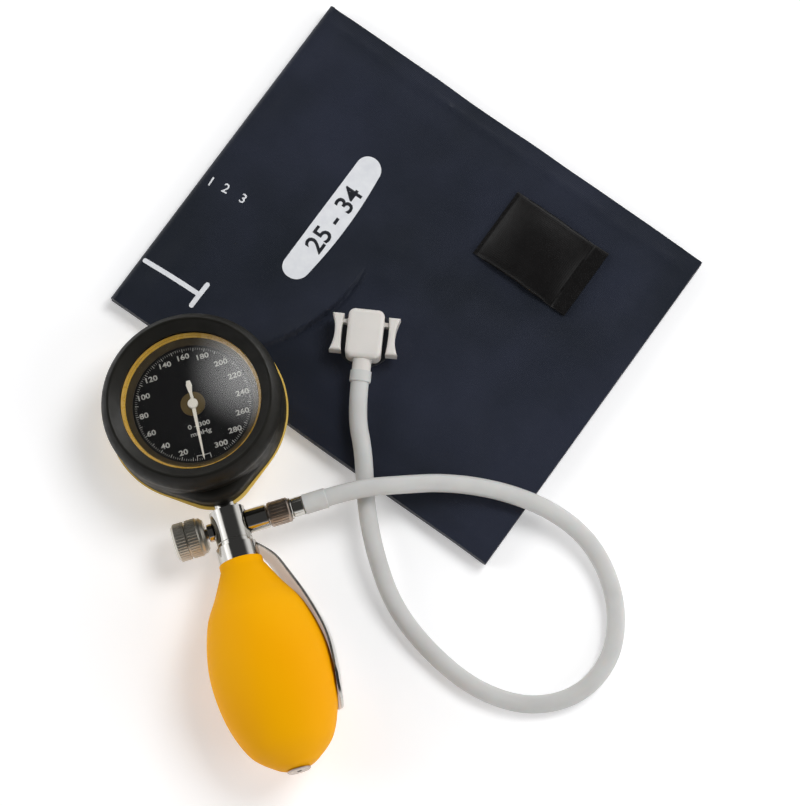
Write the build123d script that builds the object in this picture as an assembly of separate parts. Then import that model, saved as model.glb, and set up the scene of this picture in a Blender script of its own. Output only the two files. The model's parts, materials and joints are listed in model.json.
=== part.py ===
from build123d import *

import os
from math import asin, atan2, cos, degrees, pi, radians, sin, tan

# Aneroid sphygmomanometer: a hand unit of gauge, valve and bulb, a hose with a quick connector,
# and a cuff folded in three. Millimetres, Z up. The origin is the centre of the folded cuff's
# underside, X runs along the folded cuff and Y across it.
# The hand unit is drawn in a frame of its own: X to the hose port, Y from bulb to gauge,
# Z out of the dial, with the origin where the dial's axis meets the valve's axis.
# The connector is drawn with Y away from the hose and its origin on the cuff port's axis.

# General clearances
run_gap = 0.05  # radial gap of a shaft or slide in its bore
seat_gap = 0.02  # between a part and the part it is seated on
press_gap = 0.01  # radial gap of a pin that is pressed in
lay_gap = 0.3  # between soft things that lie on each other

# Folded cuff
cuff_length = 178.0
cuff_width = 145.0
ply = 1.0  # one of the two fabrics that are welded together
fold_gap = 0.8  # room between two folded layers
edge_drop = 0.8  # how far the welded border is pressed down
edge_band = 7.0
layer = 2 * ply
layer_pitch = layer + fold_gap
cuff_top = 3 * layer + 2 * fold_gap

# Hook-and-loop patches between the middle and the bottom layer
patch_thickness = 0.35
patch_length = 110.0
patch_width = 60.0
patch_x = -20.0

# Webbing loop for a gauge clip
loop_x = 36.4
loop_inset = 34.3  # from the cuff's edge to the loop's middle
loop_y = cuff_width / 2 - loop_inset
loop_span = 31.0  # clear width of the tunnel at its foot
loop_foot = 6.0  # sewn-down length at each end
loop_depth = 30.0  # width of the webbing, along the tunnel
loop_rise = 5.0  # clear height of the tunnel
loop_slope = 3.2  # length of each sloping side
webbing = 1.2
tack_length = 7.0
tack_width = 1.8
tack_height = 0.5
tack_inset = 1.0  # from the webbing's edge to a tack

# Cuff port
port_x = 0.7
port_y = -28.5
port_flange_radius = 11.5
port_flange = 0.9
port_collar_radius = 5.6
port_collar = 1.6
port_bore = 3.6
port_root = 1.0  # how far the port reaches into the inner fabric
port_floor = 0.6
port_step = 1.0  # how much narrower the port is where it goes through the fabric
port_vent = 1.2

# Quick connector
connector_yaw = 29.7
connector_length = 19.0
connector_width = 13.8
connector_height = 10.4
connector_front = 9.0  # from the port's axis to the connector's front
connector_round = 2.6
connector_top_round = 1.8
connector_lift = 0.2  # gap between the port's collar and the connector
spigot_radius = 3.3
spigot_length = 2.6
spigot_groove = 0.6  # depth of the seal's groove, and half of its width
neck_radius = 3.6
neck_length = 4.6
flare_radius = 4.1
flare_length = 4.4
flare_round = 0.5
barb_socket = 5.0  # how far the barb goes into the connector
barb_radius = 2.5
barb_bore = 1.4
tab_length = 14.5
tab_thick_end = 4.6
tab_thick_mid = 3.1
tab_height = 7.6
tab_gap = 1.6
tab_hollow = 0.5  # how far the tab's inner face is hollowed
tab_round = 1.0
tab_arm_width = 1.5
tab_arm_height = 4.0
tab_pivot_radius = 1.2
tab_pivot_depth = 0.4  # from the connector's side to the pivot's axis
tab_pivot_inset = 2.7  # from the tab's front end to the pivot's axis
tab_pivot_y = connector_front - connector_length / 2 + tab_length / 2 - tab_pivot_inset

# Hand unit: where it lies
gauge_x = -33.0
gauge_y = -90.3
hand_yaw = 51.85
hand_roll = -4.0
tilt_drop = 0.5  # how much lower the tilt brings the case at the cuff's edge

# Gauge case
case_step = 0.8  # from the rim's outside out to the bowl's edge
case_wall = 1.8
back_depth = 6.5  # from the valve's axis to the back of the case
back_flat = 11.0
bowl_top = 2.0
flange_width = 4.6  # from the rim's outside out
flange_thickness = 1.4
lobe_offset = 22.2
lobe_radius = 14.0
lobe_flange = 17.2
lobe_top = 8.4
rim_radius = 30.2
rim_wall = 1.8
rim_top = 17.0
ledge_width = 3.9
ledge = 1.6
dial_recess = 2.8  # from the rim's top down to the dial's face

# Rubber bumper
bumper_width = 4.0  # from the rim's outside out
bumper_lobe = 16.0
bumper_lobe_top = 13.0
lobe_round = 4.0
crest_step = 0.8  # from the rim's outside out to the crest
crest_height = 25.0
crest_round = 0.9
bumper_shoulder = 8.5  # from the crest down to the straight side
lip_width = 3.3  # from the rim's outside in
lip_thickness = 0.7

# Dial, rings and lens
dial_thickness = 0.8
ring_width = 2.2  # of the dial ring's slope
ring_foot = 0.5  # upright height at the inner edge of the dial ring and the bezel
bezel_height = 1.9
bezel_inset = 0.3  # from the rim's outside to the bezel's
bezel_width = 3.2
bezel_slope = 1.4  # how far the bezel slopes in
gasket_thickness = 0.4
lens_edge = 1.2
lens_rise = 2.6
lens_thickness = 1.2
dial_bore = 1.2

# Pointer
pointer_zero = -3.65  # degrees from the valve's axis to the pointer at zero
pointer_length = 22.2
pointer_tail = 9.2
pointer_tip = 0.3
pointer_point = 1.0  # length of the pointed end
pointer_waist = 0.55
pointer_end = 0.7
pointer_root = 0.75
pointer_spade = 1.15
pointer_plate = 0.4
pointer_boss_radius = 2.0
pointer_boss = 0.9
pointer_boss_round = 0.35
staff_cover = 0.3  # thickness of the boss over the staff's end
hub_radius = 4.7
hub_thickness = 0.35
pointer_lift = 0.3  # gap between dial and hub disc

# Movement
module = 0.3
pinion_teeth = 10
sector_teeth_full = 120
pointer_sweep = 337.5
sector_margin = 3.5  # degrees of teeth beyond each end of the swing
sector_plate = 0.6
sector_hub = 3.2
sector_rim = 2.2
sector_arm = 1.1
window_start = 6.0  # from the arbor's axis
gear_play = 0.06
tooth_sink = 0.15  # how far a tooth's foot is sunk in the rim
pinion_width = 1.0
staff_radius = 0.5
arbor_radius = 0.8
tail_pin_reach = 2.15
tail_pin_radius = 0.25
tail_bar = 0.4  # half width of the tail bar
tail_bar_reach = 2.8
tail_bar_height = 0.6
tail_pin_over = 0.4  # how far the pin stands past the tail bar's middle
tail_play = 0.05
rocker_offset = 4.6  # from the dial's axis to the rocker shaft
rocker_radius = 0.5
rocker_arm = 0.4  # half thickness of the arm over the capsule
rocker_arm_width = 1.2
rocker_arm_over = 0.5  # how far the arm reaches past the dial's axis
rocker_right = 7.5  # from the dial's axis to the shaft's right end
ear_thickness = 1.0
ear_width = 2.6
ear_height = 2.6
ear_inset_left = 1.9
ear_inset_right = 0.9
capsule_radius = 12.0
capsule_sheet = 0.4
capsule_gap = 0.08
capsule_height = 2.5
cup_height = 1.1
cup_wall = 0.6
skirt_lift = 0.2  # from the cup's foot to the lid's skirt
corrugations = (4.0, 6.6, 9.2)
corrugation = 0.25
gas_bore = 0.6
stud_radius = 3.0
stud_height = 2.6
post_radius = 1.0
post_tip = 0.3
post_tip_length = 0.8
post_room = 1.2  # radial gap round the post in the lower plate
plate_gap = 1.0  # from the movement's plates to the case's ledge
plate = 0.8
pillar_radius = 1.2
pillar_x_right = 9.0
pillar_x_left = -14.0
pillar_y = 13.0
foot_inset = 4.0  # from the plates' edge to the feet's middle
foot_radius = 2.6
screw_radius = 1.0
screw_head = 1.8
screw_head_height = 0.8
screw_play = 0.12
screw_hold = 0.1  # how far the thread bites into its hole, in radius
screw_grip = 2.4
slot_width = 0.5
slot_depth = 0.35
bottom_plate_z = 2.6
rocker_z = 4.6
tail_z = 7.2
bridge_z = 8.4
bridge = 0.6
bridge_width = 5.0
bridge_left = 2.6  # from the sector's axis to the left post
bridge_right = 5.6
bridge_right_shift = -1.4
bridge_post = 1.0
bridge_overhang = 1.0
sector_z = 10.0
pinion_z = 9.8
spring_z = 11.0
spring_band = 0.15
spring_height = 0.4
spring_start = 1.6
spring_pitch = 0.6
spring_turns = 5
top_plate_z = 11.8
tube_radius = 0.7
tube_bend = 2.5
tube_drop_start = 17.5  # from the dial's axis
tube_drop_end = 12.6
tube_end = 1.6
tube_roof = 0.15  # metal left over the tube in the stud

# Valve body and what screws into it
valve_radius = 7.0
barrel_top = 39.9  # where the barrel starts, below the dial's axis
knob_axis = 46.4
groove_at = 52.8
groove_width = 0.5
groove_depth = 0.4
mouth = 60.4  # the bulb's mouth, below the dial's axis
stem_radius = 5.0
stem_length = 13.1
stem_bore = 1.3
stem_end = 0.6  # chamfer of the stem's end
stem_seal_setback = 4.2  # from the stem's tip to its seal
stem_seal_groove = 0.8  # depth of the seal's groove, and half of its width
bulb_spigot_length = 8.0
bulb_spigot_radius = 5.4
spigot_ribs = 3
spigot_lead = 1.5
rib_pitch = 2.85
rib_step = 0.3
rib_depth = 0.5
spigot_end = 0.8
flat_depth = 0.3
port_flat = 9.6
gland_flat = 7.6
check_chamber = 2.6
check_disc_radius = 2.3
check_disc = 0.8
check_lift = 0.8
check_seat_length = 7.5
check_seat_bore = 1.1
check_clear = 0.8  # chamber left over the lifted disc
check_recess = 0.2
set_screw_radius = 1.2
set_screw_setback = 3.2  # from the stem's tip
set_screw_sink = 0.2

# Release valve
screw_shank = 2.4
screw_stem = 2.0
screw_reach = 2.6  # from the valve's axis to the screw's inner end
screw_clear = 0.4  # shank left over when the valve is fully open
seat_room = 0.5  # from the screw's inner end to the metal of the seat
screw_grip_end = 2.0  # metal of the knob over the screw's end
screw_pitch = 0.75
knob_turns = 1.5
seat_bore = 1.0
needle_pin = 0.7
needle_pin_length = 1.8
needle_pin_hole = 2.0
needle_root = 1.8
needle_flange = 0.2
needle_cone = 0.9
needle_point = 0.45
needle_length = 1.55
gland_radius = 3.6
gland_length = 2.2
gland_round = 0.5
knob_radius = 7.4
knob_length = 12.2
knob_gap = 0.9  # from gland to knob when the valve is shut
knob_collar = 2.2
knob_collar_step = 0.5
knob_chamfer = 1.2
knob_groove_at = 6.6
knob_groove_width = 0.8
knob_groove = 0.7
knob_edge = 1.0
knurl_count = 40
knurl_radius = 0.5
knurl_depth = 0.16

# Hose port and luer
port_barrel = 4.65
port_barrel_length = 8.2
port_nipple = 3.2
port_nipple_length = 4.8
port_shank = 2.6
port_shank_in = 2.6  # from the valve's axis to the shank's end
port_recess = 0.2  # room left behind the shank's end
port_chamfer = 0.5
nut_radius = 4.8
nut_length = 8.3
nut_gap = 0.2
nut_wall = 1.8
nut_chamfer = 0.5
grip_radius = 0.3
grip_depth = 0.18
grip_margin = 1.1
adapter_radius = 1.9
adapter_bore = 1.1
adapter_flange = 3.8
adapter_flange_length = 4.6
adapter_chamfer = 0.4
adapter_play = 0.1
ring_radius = 4.3
ring_length = 0.8
ring_gap = 0.15
ring_chamfer = 0.2
sleeve_radius = 3.9
sleeve_length = 9.0
sleeve_round = 0.35
barb_end_step = 0.5
barb_end_length = 0.8
grip_count = 24

# Palm spoon
clip_wall = 0.9
clip_length = 6.2
spoon_sheet = 0.9
spoon_length = 64.0  # from the bulb's mouth to the leaf's end
spoon_high = 14.0  # degrees above the bulb's side
spoon_low = -46.0
clip_slit = 2.4
leaf_root = 12.0  # half width that the leaf is cut to above the bulb's mouth
leaf_widest = 30.0  # from the bulb's mouth to where the leaf has its full width

# Bulb
bulb_length = 82.7
bulb_radius = 23.0
bulb_neck = 8.4
bulb_wall = 2.4
bulb_belly = 45.8  # from the mouth to the widest place
bulb_collar = 2.5  # straight length at the mouth
end_valve_radius = 4.6
end_valve_flange = 1.0
end_valve_length = 8.0
end_valve_body = 3.6
end_valve_edge = 0.4
end_valve_face = 2.0  # metal between the flange and the chamber
inlet_bore = 1.0
cage_bore = 0.5
cage_circle = 1.4

# Hose
hose_radius = 3.5
hose_bore = 2.0

# Heights of the stack above the dial's ledge
ledge_top = rim_top - dial_recess - dial_thickness
dial_top = ledge_top + dial_thickness
bezel_top = rim_top + bezel_height
lens_base = bezel_top + gasket_thickness
lens_top = lens_base + lens_edge
hub_z = dial_top + pointer_lift
pointer_z = hub_z + hub_thickness
staff_top = pointer_z + pointer_boss - staff_cover

# The hand unit lies with its case on the cuff's welded edge and its bulb on the table
case_radius = rim_radius + case_step
flange_radius = rim_radius + flange_width
ledge_radius = rim_radius - rim_wall - ledge_width
bumper_radius = rim_radius + bumper_width
crest_radius = rim_radius + crest_step
lip_radius = rim_radius - lip_width
bezel_view = rim_radius - bezel_inset - bezel_width
ring_view = bezel_view - bezel_slope
dial_view = ring_view - ring_width  # radius of the dial that shows
plate_radius = ledge_radius - plate_gap
foot_circle = plate_radius - foot_inset
bowl_slope = (bowl_top + back_depth) / (case_radius - back_flat)
edge_reach = abs(gauge_y) - cuff_width / 2
edge_height = cuff_top - edge_drop
depth_at_edge = back_depth - (edge_reach - back_flat) * bowl_slope
hand_height = edge_height + lay_gap + depth_at_edge + tilt_drop
belly_at = mouth + bulb_belly
hand_pitch = -degrees(asin((bulb_radius - hand_height) / belly_at))
hand = (
    Pos(gauge_x, gauge_y, hand_height)
    * Rot(0, 0, hand_yaw)
    * Rot(hand_pitch, 0, 0)
    * Rot(0, hand_roll, 0)
)

# The connector stands on the cuff port
port_top = cuff_top + port_flange + port_collar
connector_base = port_top + connector_lift
connector = Pos(port_x, port_y, 0) * Rot(0, 0, connector_yaw)

# Gears: the sector's axis lies left of the dial's axis
pinion_pitch = module * pinion_teeth / 2
sector_pitch = module * sector_teeth_full / 2
gear_centres = pinion_pitch + sector_pitch
sector_swing = pointer_sweep * pinion_teeth / sector_teeth_full
tooth_angle = 360 / pinion_teeth
sector_tooth_angle = 360 / sector_teeth_full
push_offset = tail_bar + tail_pin_radius + tail_play
foot_angles = [radians(a) for a in (55, 235, 305)]

# The valve
stem_tip = -barrel_top + stem_length  # Y where the stem ends inside the case
set_screw_y = stem_tip - set_screw_setback
flat_x = valve_radius - flat_depth  # X of the flats on the valve's sides

nodes = {}


def keep(name, *solids):
    """Files one or more solids under a node's name."""
    nodes[name] = list(solids)


def rod(radius, start, end):
    """A cylinder between two points."""
    a, b = Vector(*start), Vector(*end)
    return Plane(origin=a, z_dir=b - a) * Cylinder(
        radius, (b - a).length, align=(Align.CENTER, Align.CENTER, Align.MIN)
    )


def disc(radius, z_low, z_high, x=0.0, y=0.0):
    return rod(radius, (x, y, z_low), (x, y, z_high))


def ring(outer, inner, z_low, z_high):
    return disc(outer, z_low, z_high) - disc(inner, z_low - 1, z_high + 1)


def along_y(outline):
    """Turns an outline of (radius, distance down the valve's axis) round that axis."""
    points = [(r, -s) for r, s in outline]
    return revolve(make_face(Polyline(*points, close=True)), Axis.Y)


def along_x(outline, y=0.0):
    """Turns an outline of (distance along X, radius) round a line parallel to X."""
    face = make_face(Polyline(*outline, close=True))
    return Pos(0, y, 0) * revolve(face, Axis.X)


def about_z(outline):
    """Turns an outline of (radius, height) round the dial's axis."""
    return revolve(Plane.XZ * make_face(Polyline(*outline, close=True)), Axis.Z)


def teardrop(main_radius, lobe, z_low, z_high):
    """A round plate with a smaller lobe towards the valve."""
    main = Circle(main_radius).edge()
    end = (Pos(0, -lobe_offset) * Circle(lobe)).edge()
    return extrude(Pos(0, 0, z_low) * make_hull([main, end]), z_high - z_low)


def s_fold(inner_offset, outer_offset):
    """One fabric of the cuff folded in three, between two distances from the inner face.

    The printed face is up on the top layer. The sheet turns down at the left fold, runs back
    as the middle layer, turns down again at the right fold and ends as the bottom layer.
    """
    half = cuff_length / 2
    end = layer + fold_gap / 2
    spans = []
    for level in range(3):
        base = level * layer_pitch
        low, high = base + inner_offset, base + outer_offset
        if level == 1:
            low, high = base + layer - outer_offset, base + layer - inner_offset
        left = -half + (end if level > 0 else 0)
        right = half - (end if level < 2 else 0)
        spans.append(
            Pos((left + right) / 2, 0, (low + high) / 2)
            * Box(right - left, cuff_width, high - low)
        )
    left_turn = (fold_gap / 2 + inner_offset, fold_gap / 2 + outer_offset)
    right_turn = (
        fold_gap / 2 + layer - outer_offset,
        fold_gap / 2 + layer - inner_offset,
    )
    for side, level, (small, large) in ((-1, 2, left_turn), (1, 1, right_turn)):
        x = side * (half - end)
        z = level * layer_pitch - fold_gap / 2
        ends = ((x, -cuff_width / 2, z), (x, cuff_width / 2, z))
        bend = rod(large, *ends) - rod(small, (x, -cuff_width, z), (x, cuff_width, z))
        clip = Pos(x + side * cuff_top, 0, z) * Box(2 * cuff_top, 2 * cuff_width, 2 * cuff_top)
        spans.append(bend & clip)
    return spans[0] + spans[1:]


def pressed_edge(side):
    """The wedge that the weld takes off the top fabric along one long edge."""
    y = side * cuff_width / 2
    foot = y - side * edge_band
    over = cuff_top + 1
    wedge = Polyline(
        (y, cuff_top - edge_drop), (y, over), (foot, over), (foot, cuff_top), close=True
    )
    face = Plane.YZ * make_face(wedge)
    return Pos(-cuff_length, 0, 0) * extrude(face, 2 * cuff_length)


def cuff():
    inner = s_fold(0, ply)
    outer = s_fold(ply, layer)
    for side in (-1, 1):
        outer -= pressed_edge(side)
    root_radius = port_collar_radius - port_step + seat_gap
    root_low = cuff_top - ply - port_root
    over = cuff_top + 1
    outer -= disc(root_radius, root_low, over, port_x, port_y)
    inner -= disc(root_radius, root_low - run_gap, over, port_x, port_y)
    keep("cuff_inner_fabric", inner)
    keep("cuff_outer_fabric", outer)

    patch = Box(patch_length, patch_width, patch_thickness)
    low = layer + seat_gap + patch_thickness / 2
    high = layer_pitch - seat_gap - patch_thickness / 2
    keep("loop_patch", Pos(patch_x, 0, low) * patch)
    keep("hook_patch", Pos(patch_x, 0, high) * patch)


def gauge_loop():
    """A webbing strap sewn down at both ends, so that it stands as a flat tunnel along Y."""
    half = loop_span / 2
    base = cuff_top + seat_gap
    path = [
        (-half - loop_foot, 0), (-half, 0), (-half + loop_slope, loop_rise),
        (half - loop_slope, loop_rise), (half, 0), (half + loop_foot, 0),
    ]
    over = [(x, z + webbing) for x, z in reversed(path)]
    face = Plane.XZ * make_face(Polyline(*path, *over, close=True))
    strap = extrude(face, loop_depth / 2, both=True)
    at = Pos(loop_x, loop_y, base)
    keep("gauge_loop", at * strap)

    tack = Box(tack_width, tack_length, tack_height)
    tack_x = half + loop_foot / 2
    tack_y = loop_depth / 2 - tack_length / 2 - tack_inset
    tack_z = webbing + seat_gap + tack_height / 2
    corners = [(-tack_x, -tack_y), (-tack_x, tack_y), (tack_x, -tack_y), (tack_x, tack_y)]
    keep("loop_bar_tacks", *[at * Pos(x, y, tack_z) * tack for x, y in corners])


def cuff_port():
    base = cuff_top + seat_gap
    root_low = cuff_top - ply - port_root
    flange = disc(port_flange_radius, base, base + port_flange)
    flange = fillet(flange.edges().sort_by(Axis.Z)[-1], port_flange * 0.6)
    collar = disc(port_collar_radius, base, port_top)
    root = disc(port_collar_radius - port_step, root_low, base)
    bore = disc(port_bore, root_low + port_floor, port_top + 1)
    vent = disc(port_vent, 0, port_top)
    keep("cuff_port", connector * (flange + collar + root - bore - vent))


def tab_pivot(side, radius, height):
    """An upright pin at the side of the connector, on which a tab turns."""
    middle = connector_base + connector_height / 2
    x = side * (connector_width / 2 - tab_pivot_depth)
    return disc(radius, middle - height / 2, middle + height / 2, x, tab_pivot_y)


def tab(side):
    """A squeeze tab with a waist, on a short arm at its front end."""
    inner = side * (connector_width / 2 + tab_gap)
    outer_end = inner + side * tab_thick_end
    outer_mid = inner + side * tab_thick_mid
    middle = connector_front - connector_length / 2
    front, back = middle + tab_length / 2, middle - tab_length / 2
    profile = make_face(
        [
            Line((inner, back), (outer_end, back)),
            ThreePointArc((outer_end, back), (outer_mid, middle), (outer_end, front)),
            Line((outer_end, front), (inner, front)),
            ThreePointArc((inner, front), (inner + side * tab_hollow, middle), (inner, back)),
        ]
    )
    low = connector_base + (connector_height - tab_height) / 2
    body = extrude(Pos(0, 0, low) * profile, tab_height)
    body = fillet(body.edges().group_by(Axis.Z)[-1], tab_round)
    reach = tab_gap + tab_hollow + tab_pivot_depth
    arm = Box(reach, tab_arm_width, tab_arm_height)
    x = side * (connector_width / 2 - tab_pivot_depth + reach / 2)
    arm = Pos(x, tab_pivot_y, low + tab_height / 2) * arm
    return body + arm + tab_pivot(side, tab_pivot_radius, tab_arm_height)


def quick_connector():
    back = connector_front - connector_length
    middle = connector_front - connector_length / 2
    axis_z = connector_base + connector_height / 2
    shank_start = back + barb_socket
    neck_end = back - neck_length
    shank_end = neck_end - flare_length

    body = Pos(0, middle, axis_z) * Box(connector_width, connector_length, connector_height)
    body = fillet(body.edges().filter_by(Axis.Z), connector_round)
    body = fillet(body.edges().group_by(Axis.Z)[-1], connector_top_round)
    spigot_low = connector_base - spigot_length
    spigot = disc(spigot_radius, spigot_low, axis_z)
    seal_z = connector_base - spigot_length / 2
    groove_radius = spigot_radius - spigot_groove
    groove = ring(
        spigot_radius + 1, groove_radius, seal_z - spigot_groove, seal_z + spigot_groove
    )
    riser = disc(barb_bore, spigot_low - 1, axis_z)
    way = rod(barb_bore, (0, 0, axis_z), (0, back - 1, axis_z))
    socket = rod(barb_radius + seat_gap, (0, shank_start, axis_z), (0, back - 1, axis_z))
    body = body + (spigot - groove) - riser - way - socket
    for side in (-1, 1):
        body -= tab_pivot(side, tab_pivot_radius + run_gap, tab_arm_height + 2 * run_gap)
    keep("connector_body", connector * body)

    seal_outside = port_bore - run_gap
    section = (seal_outside - groove_radius - seat_gap) / 2
    seal = Pos(0, 0, seal_z) * Torus(seal_outside - section, section)
    keep("connector_seal", connector * seal)

    neck = rod(neck_radius, (0, back - seat_gap, axis_z), (0, neck_end, axis_z))
    neck += rod(barb_radius, (0, shank_start - seat_gap, axis_z), (0, shank_end, axis_z))
    neck -= rod(barb_bore, (0, shank_start + 1, axis_z), (0, shank_end - 1, axis_z))
    keep("connector_barb", connector * neck)

    flare = rod(flare_radius, (0, neck_end - seat_gap, axis_z), (0, shank_end, axis_z))
    flare = fillet(flare.edges().sort_by(Axis.Y)[0], flare_round)
    flare -= rod(barb_radius + seat_gap, (0, neck_end + 1, axis_z), (0, shank_end - 1, axis_z))
    keep("connector_hose_end", connector * flare)

    keep("release_tab_left", connector * tab(-1))
    keep("release_tab_right", connector * tab(1))
    return connector * Pos(0, shank_end, axis_z)


def gauge_case():
    bowl = about_z(
        [
            (0, -back_depth), (back_flat, -back_depth), (case_radius, bowl_top),
            (rim_radius, bowl_top + flange_thickness), (rim_radius, rim_top), (0, rim_top),
        ]
    )
    neck = Pos(0, -lobe_offset / 2, -back_depth) * SlotCenterToCenter(
        lobe_offset, 2 * lobe_radius, rotation=90
    )
    lobe = extrude(neck, back_depth + bowl_top)
    lobe = fillet(lobe.edges().group_by(Axis.Z)[0], lobe_radius / 3)
    flange = teardrop(flange_radius, lobe_flange, bowl_top, bowl_top + flange_thickness)
    flange = fillet(flange.edges().group_by(Axis.Z)[0], flange_thickness * 0.6)
    top = teardrop(rim_radius, lobe_radius, bowl_top, lobe_top)
    case = bowl + lobe + flange + top

    floor = -back_depth + case_wall
    inner_flat = back_flat - case_wall * bowl_slope / 2
    inner_radius = rim_radius - rim_wall
    inner_top = floor + (inner_radius - inner_flat) * bowl_slope
    case -= about_z(
        [
            (0, floor), (inner_flat, floor), (inner_radius, inner_top),
            (inner_radius, ledge_top - ledge), (ledge_radius, ledge_top - ledge),
            (ledge_radius, ledge_top), (inner_radius, ledge_top),
            (inner_radius, rim_top + 1), (0, rim_top + 1),
        ]
    )
    # Feet for the movement, sunk half a wall into the bowl
    sunk = about_z(
        [
            (0, floor - case_wall / 2), (inner_flat, floor - case_wall / 2),
            (inner_radius, inner_top - case_wall / 2), (inner_radius, rim_top), (0, rim_top),
        ]
    )
    foot_top = bottom_plate_z - seat_gap
    for angle in foot_angles:
        x, y = foot_circle * cos(angle), foot_circle * sin(angle)
        case += disc(foot_radius, -back_depth, foot_top, x, y) & sunk
        case -= disc(screw_radius - screw_hold, foot_top - screw_grip - 1, foot_top + 1, x, y)
    # The stem's socket, the way to the capsule and the set screw's hole
    case -= rod(stem_radius + run_gap, (0, -mouth, 0), (0, stem_tip, 0))
    case -= valve_room()
    case -= rod(tube_radius + seat_gap, (0, stem_tip - 1, 0), (0, -tube_drop_end, 0))
    screw_hole = rod(
        set_screw_radius + press_gap, (0, set_screw_y, 0), (0, set_screw_y, -back_depth - 1)
    )
    keep("rear_housing", hand * (case - screw_hole))


def valve_room():
    """The space that the valve's stem and barrel take beside the case's lobe."""
    stem = rod(stem_radius + run_gap, (0, -mouth, 0), (0, -lobe_offset - stem_radius, 0))
    return stem + rod(valve_radius + run_gap, (0, -mouth, 0), (0, -barrel_top + run_gap, 0))


def bumper():
    inner = rim_radius + seat_gap
    low = bowl_top + flange_thickness + seat_gap
    under_lip = lens_top + seat_gap
    lip_top = under_lip + lip_thickness
    shoulder = crest_height - bumper_shoulder
    bulge = (
        crest_radius + (bumper_radius - crest_radius) * cos(pi / 4),
        shoulder + bumper_shoulder * sin(pi / 4),
    )
    outline = [
        Line((inner, low), (bumper_radius, low)),
        Line((bumper_radius, low), (bumper_radius, shoulder)),
        ThreePointArc((bumper_radius, shoulder), bulge, (crest_radius, crest_height)),
        Line((crest_radius, crest_height), (lip_radius, lip_top)),
        Line((lip_radius, lip_top), (lip_radius, under_lip)),
        Line((lip_radius, under_lip), (inner, under_lip)),
        Line((inner, under_lip), (inner, low)),
    ]
    body = revolve(Plane.XZ * make_face(outline), Axis.Z)
    body = fillet(body.edges().group_by(Axis.Z)[-1], crest_round)
    lobe = teardrop(bumper_radius - seat_gap, bumper_lobe, low, bumper_lobe_top)
    lobe = fillet(lobe.edges().group_by(Axis.Z)[-1], lobe_round)
    lobe -= disc(inner, low - 1, bumper_lobe_top + 1)
    body += lobe
    body -= teardrop(inner, lobe_radius + seat_gap, low - 1, lobe_top + seat_gap)
    keep("bumper", hand * (body - valve_room()))


def dial_and_lens():
    outer = rim_radius - rim_wall - run_gap
    dial_low = ledge_top + seat_gap
    dial = ring(outer, dial_bore, dial_low, dial_top)
    keep("dial_plate", hand * dial)
    ring_low = dial_top + seat_gap
    spacer = about_z(
        [
            (outer, ring_low), (outer, rim_top), (ring_view, rim_top),
            (dial_view, ring_low + ring_foot), (dial_view, ring_low),
        ]
    )
    keep("dial_ring", hand * spacer)
    bezel_outer = rim_radius - bezel_inset
    bezel_low = rim_top + seat_gap
    bezel = about_z(
        [
            (bezel_outer, bezel_low), (bezel_outer, bezel_top), (bezel_view, bezel_top),
            (ring_view, bezel_low + ring_foot), (ring_view, bezel_low),
        ]
    )
    keep("bezel_ring", hand * bezel)
    gasket = ring(bezel_outer, bezel_view + seat_gap, bezel_top + seat_gap, lens_base)
    keep("lens_gasket", hand * gasket)

    # The lens is a flat rim with a dome, hollow below
    lens_low = lens_base + seat_gap
    sphere = (bezel_view**2 + lens_rise**2) / (2 * lens_rise)
    centre = Pos(0, 0, lens_top + lens_rise - sphere)
    rim = disc(bezel_outer, lens_low, lens_top)
    over = lens_top + lens_rise + 1
    dome = centre * Sphere(sphere) & disc(bezel_view, lens_low, over)
    hollow = centre * Sphere(sphere - lens_thickness) & disc(bezel_view - lens_thickness, 0, over)
    keep("lens", hand * (rim + dome - hollow))


def pointer():
    boss = disc(pointer_boss_radius, pointer_z, pointer_z + pointer_boss)
    boss = fillet(boss.edges().sort_by(Axis.Z)[-1], pointer_boss_round)
    waist_at, spade_at = pointer_tail * 0.45, pointer_tail * 0.8
    point_at = pointer_point - pointer_length
    right = [
        (0, -pointer_length), (pointer_tip, point_at), (pointer_root, 0),
        (pointer_waist, waist_at), (pointer_spade, spade_at), (pointer_end, pointer_tail),
    ]
    left = [(-x, y) for x, y in reversed(right[1:])]
    blade = make_face(Polyline(*right, *left, close=True))
    needle = boss + extrude(Pos(0, 0, pointer_z) * blade, pointer_plate)
    needle -= disc(staff_radius, pointer_z - 1, staff_top)
    keep("pointer", hand * Rot(0, 0, pointer_zero) * needle)
    hub = ring(hub_radius, staff_radius, hub_z, pointer_z)
    keep("pointer_hub", hand * hub)


def polar(radius, angle):
    return radius * cos(radians(angle)), radius * sin(radians(angle))


def gear_tooth(tip, root, half_tip, half_root):
    """One straight-sided tooth pointing along X, with its foot sunk in the rim."""
    foot = root - tooth_sink
    return make_face(
        Polyline(
            (foot, -half_root), (root, -half_root), (tip, -half_tip),
            (tip, half_tip), (root, half_root), (foot, half_root), close=True,
        )
    )


def pointer_staff():
    root = pinion_pitch - 1.1 * module
    tip = pinion_pitch + 0.8 * module
    tooth = gear_tooth(tip, root, 0.22 * module, 0.8 * module - gear_play)
    tooth = extrude(Pos(0, 0, pinion_z) * tooth, pinion_width)
    gear = disc(root, pinion_z, pinion_z + pinion_width)
    for i in range(pinion_teeth):
        # A gap between two teeth faces the sector at rest
        gear += Rot(0, 0, (i + 0.5) * tooth_angle + 180) * tooth
    staff = disc(staff_radius, bridge_z, staff_top)
    collet = disc(spring_start - spring_pitch * 3 / 4, spring_z, spring_z + spring_height)
    keep("pointer_staff", hand * (gear + staff + collet))


def arm_direction():
    """Unit vectors of the sector's tail bar and of the way the rocker pushes it."""
    reach = rocker_offset + push_offset
    tail = asin(reach / gear_centres)
    return (cos(tail), sin(tail)), (-sin(tail), cos(tail))


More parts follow.
